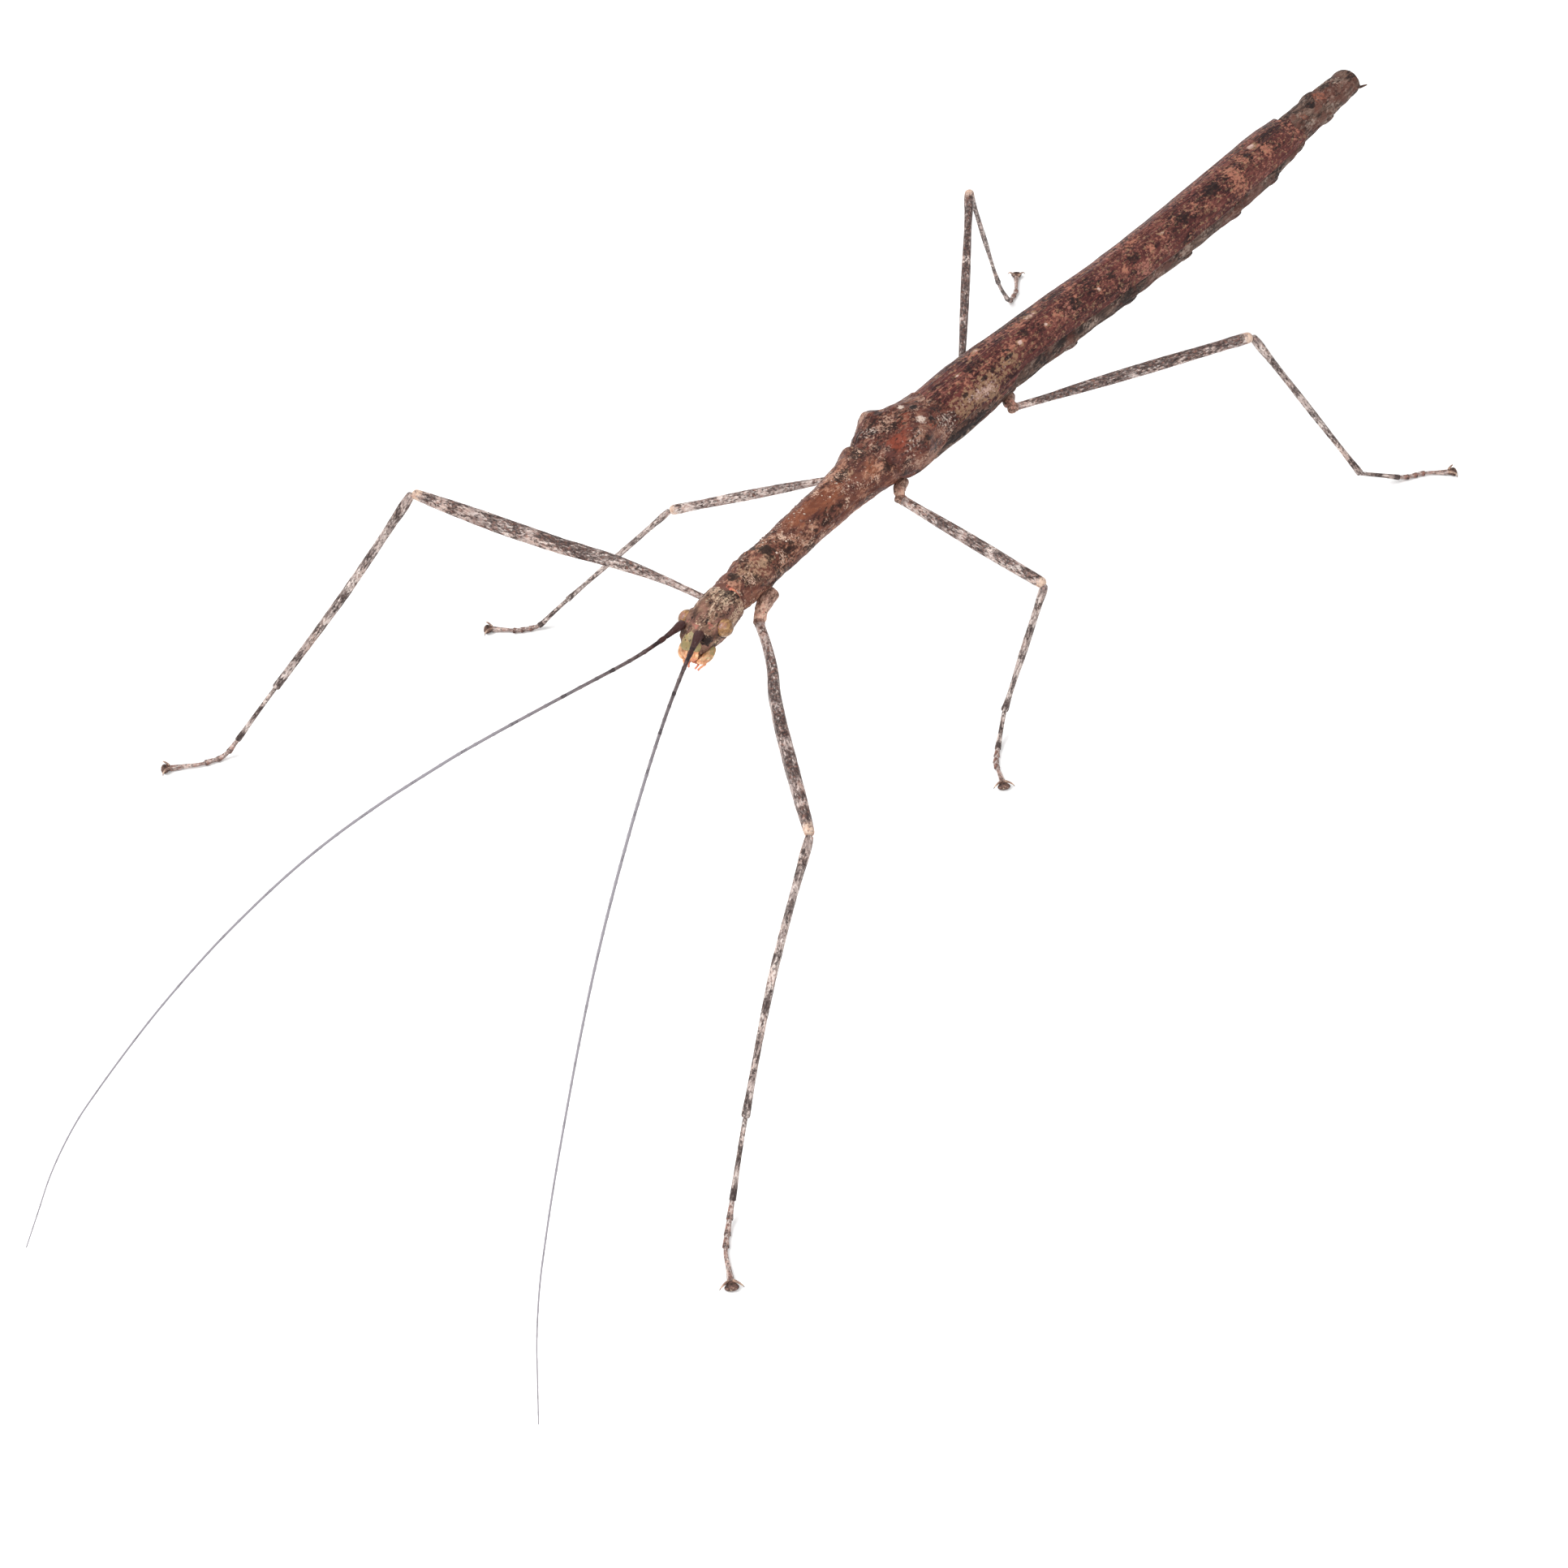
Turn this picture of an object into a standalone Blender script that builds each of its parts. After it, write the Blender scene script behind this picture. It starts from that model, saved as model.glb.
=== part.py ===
"""Winged stick insect, life size: a still museum model that stands on its six feet.

Lengths are given in millimetres in the insect's own plan: x to its left, y from the
face back to the tail, z up from the floor. The finished solids are in metres, with
the origin on the floor under the middle of the whole plan, feelers included.
"""

import math

import bmesh
import bpy
from mathutils import Vector

MM = 0.001

# Whole animal
SEAM = 0.16  # gap that parts two neighbouring solids
PLAN_MIDDLE = (-0.86, 14.34)  # middle of the floor plan, feelers and feet included
# Height of the body's middle line over the floor, at places along it
SPINE = (
    (-1.0, 12.6),
    (2.0, 13.35),
    (8.0, 13.85),
    (22.0, 14.5),
    (33.0, 14.3),
    (48.0, 13.0),
    (62.0, 12.35),
    (85.0, 12.4),
)
BODY_SIDES = 20
SIDES = {"left": 1, "right": -1}

# Head, which is turned a little to the insect's left
HEAD_TURN = math.radians(8)
NECK = (0.0, 4.4)
HEAD = (
    (4.35, 1.28, 1.12, 1.3),
    (3.7, 1.45, 1.25, 1.5),
    (2.6, 1.5, 1.25, 1.58),
    (1.7, 1.42, 1.2, 1.58),
    (0.9, 1.15, 0.95, 1.5),
    (0.2, 0.9, 0.55, 1.3),
)
MOUTHPARTS = (
    (0.02, 0.85, 0.35, 1.25),
    (-0.35, 0.78, 0.2, 1.2),
    (-0.75, 0.62, 0.05, 1.05),
    (-0.95, 0.42, -0.1, 0.8),
)
EYE_CENTRE = (1.46, 1.85, 13.5)
EYE_RADIUS = 0.62
FEELER_SOCKET = 0.46

# Body, front to rear: place along the spine, half width, height above and depth below it
PROTHORAX = (
    (4.55, 1.22, 1.1, 1.15),
    (5.4, 1.38, 1.28, 1.35),
    (6.8, 1.38, 1.3, 1.38),
    (7.95, 1.45, 1.38, 1.4),
)
MESOTHORAX = (
    (8.1, 1.4, 1.3, 1.35),
    (9.5, 1.42, 1.34, 1.38),
    (13.5, 1.48, 1.38, 1.42),
    (17.0, 1.6, 1.45, 1.5),
    (19.0, 1.85, 1.6, 1.65),
    (20.1, 2.1, 1.5, 1.75),
)
MESOTHORAX_END = 21.4  # its underside runs back under the wing covers to here
METATHORAX_END = 34.4
ABDOMEN_JOINTS = (34.55, 42.5, 50.5, 58.2, 65.2, 70.8, 75.5, 80.2, 84.7)
ABDOMEN = (
    (21.4, 2.1, 0.5, 1.85),
    (25.0, 2.5, 0.5, 2.35),
    (31.0, 2.55, 0.5, 2.4),
    (35.5, 2.3, 0.5, 2.1),
    (46.0, 2.15, 1.55, 1.95),
    (57.0, 2.15, 1.6, 1.95),
    (67.0, 2.14, 1.5, 1.95),
    (73.0, 1.88, 1.4, 1.62),
    (75.5, 1.5, 1.2, 1.28),
    (80.0, 1.38, 1.2, 1.24),
    (83.0, 1.32, 1.12, 1.14),
    (84.7, 1.04, 0.9, 0.92),
)
SEGMENT_WAIST = 0.955  # a segment's front end, as a part of its full size
OPERCULUM = ((72.2, 0.7), (74.5, 1.05), (78.0, 0.95), (80.3, 0.6), (81.2, 0.3))
OPERCULUM_THICKNESS = 0.5
CERCUS_LENGTH = 0.8
CERCUS_RADII = (0.28, 0.25, 0.25)
CERCUS_ROOT = (0.66, -0.45)  # beside and above the spine, on the last segment's rear face

# Wings: place, half width and rise of the outer face over the spine
WING_THICKNESS = 0.5
WING_ROWS = 8
HINDWING = (
    (22.2, 1.85, 1.1),
    (24.0, 2.0, 1.25),
    (27.5, 2.16, 1.48),
    (32.0, 2.2, 1.64),
    (40.0, 2.2, 1.72),
    (50.0, 2.22, 1.72),
    (60.0, 2.3, 1.76),
    (67.0, 2.3, 1.74),
    (71.5, 2.24, 1.68),
    (74.2, 2.08, 1.56),
    (75.2, 1.86, 1.44),
)
TEGMEN = (
    (20.35, 2.22, 1.62),
    (21.4, 2.48, 1.78),
    (22.6, 2.66, 1.88),
    (24.0, 2.74, 1.95),
    (25.7, 2.76, 2.04),
    (27.4, 2.78, 2.12),
)
TEGMEN_THICKNESS = 0.46
TEGMEN_STEPS = 9
TEGMEN_HUMP = (23.5, 28.0, 0.18)  # place, angle up from the side and height of the shoulder

# Legs: joints on the left and right side, in turn trochanter, knee, ankle, heel and tip of the foot
LEG_JOINTS = {
    "fore": {
        "left": (
            (2.05, 5.1, 12.1),
            (17.7, -9.7, 13.6),
            (22.5, -23.1, 3.6),
            (24.5, -27.4, 0.0),
            (28.1, -31.5, 0.0),
        ),
        "right": (
            (-2.05, 5.1, 12.1),
            (-22.1, -1.3, 16.5),
            (-27.3, -12.4, 4.3),
            (-29.1, -16.2, 0.0),
            (-32.3, -20.2, 0.0),
        ),
    },
    "middle": {
        "left": (
            (2.75, 20.0, 12.85),
            (15.4, 18.4, 12.4),
            (13.2, 16.9, 1.3),
            (14.3, 14.5, 0.0),
            (17.2, 11.2, 0.0),
        ),
        "right": (
            (-2.68, 19.8, 12.55),
            (-11.9, 12.6, 10.4),
            (-18.8, 8.1, 2.1),
            (-20.2, 6.4, 0.0),
            (-23.6, 3.8, 0.0),
        ),
    },
    "hind": {
        "left": (
            (2.95, 33.1, 12.65),
            (13.7, 46.9, 14.7),
            (20.2, 52.8, 1.6),
            (22.4, 55.8, 0.0),
            (25.5, 58.9, 0.0),
        ),
        "right": (
            (-2.36, 34.05, 12.6),
            (-11.9, 48.7, 17.0),
            (-14.6, 56.3, 3.4),
            (-15.2, 58.7, 0.0),
            (-17.3, 62.9, 0.0),
        ),
    },
}
COXA_ROOTS = {"fore": 7.1, "middle": 20.7, "hind": 33.3}
COXA_ANGLE = math.radians(40)  # how far below the side of the body a leg is set
COXA_RADII = {"fore": (0.55, 0.42), "middle": (0.58, 0.42), "hind": (0.6, 0.42)}
# Each length of a leg as (part of its length, radius)
FEMUR = (
    (0.0, 0.27),
    (0.08, 0.29),
    (0.2, 0.37),
    (0.35, 0.41),
    (0.5, 0.43),
    (0.68, 0.44),
    (0.85, 0.44),
    (0.95, 0.46),
    (1.0, 0.42),
)
FEMUR_GIRTH = {"fore": 1.0, "middle": 0.92, "hind": 0.92}
TIBIA = (
    (0.0, 0.29),
    (0.04, 0.34),
    (0.1, 0.29),
    (0.3, 0.26),
    (0.5, 0.26),
    (0.7, 0.26),
    (0.93, 0.27),
    (0.97, 0.31),
    (1.0, 0.29),
)
# The fore legs are a little curved: how far each length strays from straight, at parts of its length
FORE_FEMUR_BENDS = {
    "left": ((0.2, (0.33, 0.0, 0.0)), (0.38, (-0.2, 0.0, 0.0)), (0.62, (-0.2, 0.0, 0.0))),
    "right": ((0.25, (0.0, 0.2, 0.3)), (0.55, (0.0, 0.0, 0.0))),
}
FORE_TIBIA_BENDS = {"left": ((0.5, (-0.35, 0.0, 0.0)),), "right": ((0.5, (0.25, 0.0, 0.0)),)}
TARSUS_RADIUS = 0.27
TARSUS_BULGE = 0.3  # how far the foot's middle curves in towards the body
SOLE_LIFT = 0.23  # axis of the foot over the floor, a little under its radius
PAD_SECTIONS = ((0.0, 0.26, 0.27), (0.35, 0.44, 0.34), (0.62, 0.6, 0.3), (0.78, 0.5, 0.22))
PAD_SIDES = 10

# Feelers: the route of each, and where its three lengths part
FEELER_ROUTES = {
    "left": (
        (0.9, 0.6, 13.9),
        (1.5, -0.8, 14.0),
        (2.6, -3.1, 14.3),
        (5.3, -8.4, 14.8),
        (10.1, -17.1, 15.4),
        (15.1, -25.8, 15.5),
        (20.3, -34.3, 15.0),
        (25.6, -42.7, 13.6),
        (28.5, -46.6, 12.5),
        (30.9, -49.0, 11.4),
    ),
    "right": (
        (-0.6, 0.7, 13.9),
        (-0.5, -0.7, 14.1),
        (-0.5, -3.2, 14.3),
        (-1.4, -9.1, 14.9),
        (-3.2, -18.9, 15.4),
        (-4.2, -28.8, 15.5),
        (-3.9, -38.8, 14.8),
        (-2.5, -48.6, 13.4),
        (-1.1, -53.2, 12.4),
        (1.2, -56.9, 11.4),
    ),
}
FEELER_LENGTHS = (("scape", 0.0, 2.0, 1.0), ("inner", 2.0, 30.0, 2.8), ("outer", 30.0, 60.0, 2.8))
FEELER_RADII = ((0.0, 0.3), (1.2, 0.36), (2.0, 0.27), (4.0, 0.25), (60.0, 0.25))

# Colours and roughness
FINISHES = {
    "cuticle": ((0.16, 0.07, 0.05, 1), 0.6),
    "belly": ((0.2, 0.15, 0.12, 1), 0.6),
    "wing": ((0.13, 0.04, 0.035, 1), 0.55),
    "eye": ((0.6, 0.38, 0.14, 1), 0.25),
    "mouth": ((0.65, 0.33, 0.2, 1), 0.5),
    "feeler": ((0.12, 0.1, 0.1, 1), 0.5),
    "leg": ((0.42, 0.33, 0.29, 1), 0.55),
    "pad": ((0.38, 0.24, 0.17, 1), 0.6),
}


def clear_scene():
    for thing in list(bpy.data.objects):
        bpy.data.objects.remove(thing, do_unlink=True)


def new_collection(name):
    collection = bpy.data.collections.new(name)
    bpy.context.scene.collection.children.link(collection)
    return collection


def new_finish(name, colour, roughness):
    finish = bpy.data.materials.new(name)
    finish.use_nodes = True
    shader = finish.node_tree.nodes["Principled BSDF"]
    shader.inputs["Base Color"].default_value = colour
    shader.inputs["Roughness"].default_value = roughness
    finish.diffuse_color = colour
    return finish


def smooth_value(knots, values, place):
    """Reads a smooth curve through values at knots; a value may be a number or a Vector."""
    last = len(knots) - 1
    span = next((i for i in range(last) if place <= knots[i + 1]), last - 1)
    start, end = knots[span], knots[span + 1]

    def slope(i):
        low, high = max(i - 1, 0), min(i + 1, last)
        return (values[high] - values[low]) * (1 / (knots[high] - knots[low]))

    t = (place - start) / (end - start)
    reach = end - start
    return (
        values[span] * (2 * t**3 - 3 * t**2 + 1)
        + slope(span) * (reach * (t**3 - 2 * t**2 + t))
        + values[span + 1] * (3 * t**2 - 2 * t**3)
        + slope(span + 1) * (reach * (t**3 - t**2))
    )


def spine_height(y):
    return smooth_value([knot for knot, _ in SPINE], [height for _, height in SPINE], y)


def read_sections(sections, y, column):
    return smooth_value([row[0] for row in sections], [row[column] for row in sections], y)


def oval(y, half_width, up, down, sides=BODY_SIDES):
    """A ring round the spine at y, deeper below than above."""
    ring = []
    centre = spine_height(y)
    for step in range(sides):
        angle = math.tau * step / sides
        rise = math.sin(angle)
        ring.append((half_width * math.cos(angle), y, centre + rise * (up if rise > 0 else down)))
    return ring


def wing_core(y):
    """Half width and rise of the body where the folded wings lie over it."""
    room = WING_THICKNESS + 1.4 * SEAM
    return read_sections(HINDWING, y, 1) - room, read_sections(HINDWING, y, 2) - room


def ledged(y, half_width, down):
    """A ring whose upper half is drawn in, which leaves a ledge for the wings' lower edges."""
    core_width, core_rise = wing_core(y)
    ring = []
    for x, _, z in oval(y, 1, 1, 1):
        rise = z - spine_height(y)
        wide, tall = (half_width, down) if rise < -0.05 else (core_width, core_rise)
        ring.append((x * wide, y, spine_height(y) + rise * tall))
    return ring


def loft(rings):
    """A closed skin over rings of points, with a flat face on each end."""
    skin = bmesh.new()
    loops = [[skin.verts.new(point) for point in ring] for ring in rings]
    for near, far in zip(loops, loops[1:]):
        for left in range(len(near)):
            right = (left + 1) % len(near)
            skin.faces.new((near[left], near[right], far[right], far[left]))
    skin.faces.new(loops[0])
    skin.faces.new(loops[-1])
    bmesh.ops.recalc_face_normals(skin, faces=skin.faces)
    return skin


def tube(points, radii, detail=2):
    """A closed round tube along points, each with its own radius."""
    path = bpy.data.curves.new("path", "CURVE")
    path.dimensions = "3D"
    path.bevel_depth = 1.0
    path.bevel_resolution = detail
    path.use_fill_caps = True
    spline = path.splines.new("POLY")
    spline.points.add(len(points) - 1)
    for knot, point, radius in zip(spline.points, points, radii):
        knot.co = (*point, 1)
        knot.radius = radius
    carrier = bpy.data.objects.new("path", path)
    bpy.context.scene.collection.objects.link(carrier)
    bpy.context.view_layer.update()
    graph = bpy.context.evaluated_depsgraph_get()
    mesh = bpy.data.meshes.new_from_object(carrier.evaluated_get(graph))
    skin = bmesh.new()
    skin.from_mesh(mesh)
    bmesh.ops.remove_doubles(skin, verts=skin.verts, dist=0.001)
    bpy.data.objects.remove(carrier)
    bpy.data.meshes.remove(mesh)
    bpy.data.curves.remove(path)
    return skin


def trim(skin, point, outward):
    """Cuts away what lies beyond a plane and closes the cut with one flat face."""
    cut = bmesh.ops.bisect_plane(
        skin,
        geom=skin.verts[:] + skin.edges[:] + skin.faces[:],
        plane_co=point,
        plane_no=outward,
        clear_outer=True,
    )
    rim = [edge for edge in cut["geom_cut"] if isinstance(edge, bmesh.types.BMEdge)]
    bmesh.ops.holes_fill(skin, edges=rim, sides=0)
    bmesh.ops.recalc_face_normals(skin, faces=skin.faces)


class Workshop:
    """Holds the model's root, its collections and finishes, and adds finished parts."""

    def __init__(self):
        self.parts = new_collection("stick_insect")
        self.cutters = new_collection("cutters")
        self.finishes = {name: new_finish(name, *look) for name, look in FINISHES.items()}
        self.root = bpy.data.objects.new("insect_root", None)
        self.root.location = (-PLAN_MIDDLE[0] * MM, -PLAN_MIDDLE[1] * MM, 0)
        self.parts.objects.link(self.root)

    def add(self, name, skin, origin, finish, smooth_angle=35):
        """Makes an object of a skin that is in plan millimetres, set at its own origin."""
        origin = Vector(origin)
        bmesh.ops.translate(skin, verts=skin.verts, vec=-origin)
        bmesh.ops.scale(skin, verts=skin.verts, vec=(MM, MM, MM))
        mesh = bpy.data.meshes.new(name)
        skin.to_mesh(mesh)
        skin.free()
        mesh.materials.append(self.finishes[finish])
        mesh.shade_smooth()
        mesh.set_sharp_from_angle(angle=math.radians(smooth_angle))
        part = bpy.data.objects.new(name, mesh)
        part.location = origin * MM
        part.parent = self.root
        self.parts.objects.link(part)
        return part

    def add_cutter(self, name, centre, radius):
        ball = bmesh.new()
        bmesh.ops.create_uvsphere(ball, u_segments=16, v_segments=8, radius=radius * MM)
        mesh = bpy.data.meshes.new(name)
        ball.to_mesh(mesh)
        ball.free()
        cutter = bpy.data.objects.new(name, mesh)
        cutter.location = Vector(centre) * MM
        cutter.parent = self.root
        cutter.hide_render = True
        cutter.display_type = "WIRE"
        self.cutters.objects.link(cutter)
        return cutter


def turned_with_head(point):
    """Turns a point of the straight head about the neck."""
    x, y = point[0] - NECK[0], point[1] - NECK[1]
    turned_x = x * math.cos(HEAD_TURN) - y * math.sin(HEAD_TURN)
    turned_y = x * math.sin(HEAD_TURN) + y * math.cos(HEAD_TURN)
    return Vector((NECK[0] + turned_x, NECK[1] + turned_y, point[2]))


def head_rings(sections):
    return [[turned_with_head(point) for point in oval(*section)] for section in sections]


def build_head(shop):
    head = shop.add("head", loft(head_rings(HEAD)), (*NECK, spine_height(NECK[1])), "cuticle")
    jaw_y = MOUTHPARTS[0][0]
    shop.add("mouthparts", loft(head_rings(MOUTHPARTS)), (0, jaw_y, spine_height(jaw_y)), "mouth")
    for side, sign in SIDES.items():
        centre = turned_with_head((EYE_CENTRE[0] * sign, *EYE_CENTRE[1:]))
        eye = bmesh.new()
        bmesh.ops.create_uvsphere(eye, u_segments=16, v_segments=10, radius=EYE_RADIUS)
        bmesh.ops.translate(eye, verts=eye.verts, vec=centre)
        shop.add("eye_" + side, eye, centre, "eye", smooth_angle=60)
        socket = shop.add_cutter("socket_eye_" + side, centre, EYE_RADIUS + SEAM)
        root = shop.add_cutter("socket_feeler_" + side, FEELER_ROUTES[side][0], FEELER_SOCKET)
        for cutter in (socket, root):
            cut = head.modifiers.new(cutter.name, "BOOLEAN")
            cut.operation = "DIFFERENCE"
            cut.solver = "EXACT"
            cut.object = cutter


def build_feelers(shop):
    """Each feeler is one smooth route, parted by thin gaps into three lengths."""
    for side in SIDES:
        route = [Vector(point) for point in FEELER_ROUTES[side]]
        knots = [0.0]
        for near, far in zip(route, route[1:]):
            knots.append(knots[-1] + (far - near).length)
        for name, start, end, step in FEELER_LENGTHS:
            start, end = start + SEAM / 2, min(end, knots[-1]) - SEAM / 2
            count = math.ceil((end - start) / step)
            places = [start + (end - start) * i / count for i in range(count + 1)]
            points = [smooth_value(knots, route, place) for place in places]
            radii = [read_sections(FEELER_RADII, place, 1) for place in places]
            shop.add(f"antenna_{side}_{name}", tube(points, radii, detail=1), points[0], "feeler")


def build_thorax(shop):
    shop.add("prothorax", loft([oval(*row) for row in PROTHORAX]), (0, 4.55, spine_height(4.55)), "cuticle")
    rings = [oval(*row) for row in MESOTHORAX]
    for y in (MESOTHORAX[-1][0] + SEAM, MESOTHORAX_END):
        rings.append(ledged(y, read_sections(ABDOMEN, y, 1), read_sections(ABDOMEN, y, 3)))
    start = MESOTHORAX[0][0]
    shop.add("mesothorax", loft(rings), (0, start, spine_height(start)), "cuticle")
    start = MESOTHORAX_END + SEAM
    rings = body_rings(start, METATHORAX_END, 5)
    shop.add("metathorax", loft(rings), (0, start, spine_height(start)), "belly")


def body_ring(y, size=1.0):
    """The body's ring at y: ledged under the wings, a full oval behind them."""
    half_width, up, down = (read_sections(ABDOMEN, y, column) * size for column in (1, 2, 3))
    if y < HINDWING[-1][0] + SEAM:
        return ledged(y, half_width, down)
    return oval(y, half_width, up, down)


def body_rings(start, end, count):
    return [body_ring(start + (end - start) * i / (count - 1)) for i in range(count)]


def build_abdomen(shop):
    """Ring-shaped segments, each a little narrower at its front end."""
    for number, (start, end) in enumerate(zip(ABDOMEN_JOINTS, ABDOMEN_JOINTS[1:]), start=2):
        end -= SEAM
        length = end - start
        places = (start, start + 0.18 * length, start + 0.6 * length, end - 0.08 * length, end)
        sizes = (SEGMENT_WAIST, 1.0, 1.0, 1.03, 1.0)
        rings = [body_ring(y, size) for y, size in zip(places, sizes)]
        shop.add(f"abdomen_{number}", loft(rings), (0, start, spine_height(start)), "belly")


def build_tail(shop):
    """The plate under the last segments and the two short feelers of the tail."""
    rings = []
    for y, half_width in OPERCULUM:
        top = spine_height(y) - 1.03 * read_sections(ABDOMEN, y, 3) - SEAM
        flank = (0.45 * half_width) ** 2 / 2
        ring = []
        for x, lift, thick in ((1, flank, 0.3), (0.5, 0, 0.9), (0, 0, 1), (-0.5, 0, 0.9), (-1, flank, 0.3)):
            ring.append((x * half_width, y, top - thick * OPERCULUM_THICKNESS + lift))
        for x, lift in ((-1, flank), (-0.5, 0), (0, 0), (0.5, 0), (1, flank)):
            ring.append((x * half_width, y, top + lift))
        rings.append(ring)
    start = OPERCULUM[0][0]
    shop.add("operculum", loft(rings), (0, start, spine_height(start)), "belly")
    end = ABDOMEN_JOINTS[-1]
    for side, sign in SIDES.items():
        root = Vector((CERCUS_ROOT[0] * sign, end + SEAM, spine_height(end) + CERCUS_ROOT[1]))
        tip = root + Vector((0.6 * sign, 0.8, 0.0)) * CERCUS_LENGTH
        shop.add("cercus_" + side, tube([root, (root + tip) / 2, tip], CERCUS_RADII), root, "belly")


def shell(grid, sign, thickness, shop, name, origin):
    """A sheet of quads over a grid of points, thickened inwards."""
    sheet = bmesh.new()
    rows = [[sheet.verts.new(point) for point in row] for row in grid]
    for near, far in zip(rows, rows[1:]):
        for left in range(len(near) - 1):
            sheet.faces.new((near[left], near[left + 1], far[left + 1], far[left]))
    outward = Vector((sign, 0, 1))
    sheet.normal_update()
    if sum(face.normal.dot(outward) for face in sheet.faces) < 0:
        bmesh.ops.reverse_faces(sheet, faces=sheet.faces)
    part = shop.add(name, sheet, origin, "wing")
    wall = part.modifiers.new("wall", "SOLIDIFY")
    wall.thickness = thickness * MM
    wall.offset = -1
    wall.use_even_offset = True
    return part


def wing_point(sign, y, half_width, rise, angle):
    """A point of a wing's outer face; its inner edge stops short of the middle line."""
    inset = 1.2 * SEAM
    x = inset + (half_width - inset) * math.cos(angle)
    return (sign * x, y, spine_height(y) + rise * math.sin(angle))


def build_hindwings(shop):
    for side, sign in SIDES.items():
        grid = []
        for y, half_width, rise in HINDWING:
            angles = [math.pi / 2 * step / WING_ROWS for step in range(WING_ROWS + 1)]
            grid.append([wing_point(sign, y, half_width, rise, angle) for angle in angles])
        start = HINDWING[0][0]
        shell(grid, sign, WING_THICKNESS, shop, "hindwing_" + side, (0, start, spine_height(start)))


def tegmen_point(sign, y, angle):
    """A point of a wing cover's outer face, which swells at the shoulder."""
    place, lift_angle, height = TEGMEN_HUMP
    near = math.exp(-(((y - place) / 1.2) ** 2) - ((math.degrees(angle) - lift_angle) / 30) ** 2)
    half_width = read_sections(TEGMEN, y, 1) + height * near
    rise = read_sections(TEGMEN, y, 2) + height * near
    return wing_point(sign, y, half_width, rise, angle)


def build_tegmina(shop):
    """Oval covers over the roots of the hindwings, each with a raised shoulder."""
    start, end = TEGMEN[0][0], TEGMEN[-1][0]
    for side, sign in SIDES.items():
        grid = []
        for step in range(TEGMEN_STEPS + 1):
            along = step / TEGMEN_STEPS
            spread = math.sqrt(1 - 0.9 * abs(2 * along - 1) ** (4 if along < 0.5 else 3))
            low = math.radians(46 - 46 * spread)
            high = math.radians(56 + 34 * spread)
            y = start + (end - start) * along
            angles = [low + (high - low) * row / WING_ROWS for row in range(WING_ROWS + 1)]
            grid.append([tegmen_point(sign, y, angle) for angle in angles])
        shell(grid, sign, TEGMEN_THICKNESS, shop, "tegmen_" + side, (0, start, spine_height(start)))


def coxa_root(pair, sign):
    """Where a leg meets the body, and the body's outward direction there."""
    y = COXA_ROOTS[pair]
    sections = PROTHORAX if pair == "fore" else ABDOMEN
    half_width, down = read_sections(sections, y, 1), read_sections(sections, y, 3)
    if pair == "middle":
        half_width, down = read_sections(ABDOMEN, MESOTHORAX_END, 1) + 0.1, MESOTHORAX[-1][3]
    wide, deep = math.cos(COXA_ANGLE), math.sin(COXA_ANGLE)
    point = Vector((sign * half_width * wide, y, spine_height(y) - down * deep))
    outward = Vector((sign * wide / half_width, 0, -deep / down)).normalized()
    return point, outward


def limb(points, radii, before, after):
    """A tube along points, cut square to the bends at its two ends."""
    first = (points[1] - points[0]).normalized()
    last = (points[-1] - points[-2]).normalized()
    reach = 2.5 * max(radii)
    path = [points[0] - first * reach, *points, points[-1] + last * reach]
    skin = tube(path, [radii[0], *radii, radii[-1]])
    for point, along, other in ((points[0], -first, before), (points[-1], last, after)):
        mitre = along if other is None else (along + other).normalized()
        trim(skin, point - mitre * SEAM / 2, mitre)
    return skin


def along_profile(start, end, profile, girth, bends):
    """Points and radii between two joints, with the line curved through the bends."""
    knots = [0.0, *(part for part, _ in bends), 1.0]
    shifts = [Vector(), *(Vector(shift) for _, shift in bends), Vector()]
    points, radii = [], []
    for part, radius in profile:
        points.append(start.lerp(end, part) + smooth_value(knots, shifts, part))
        radii.append(radius * girth)
    return points, radii


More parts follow.
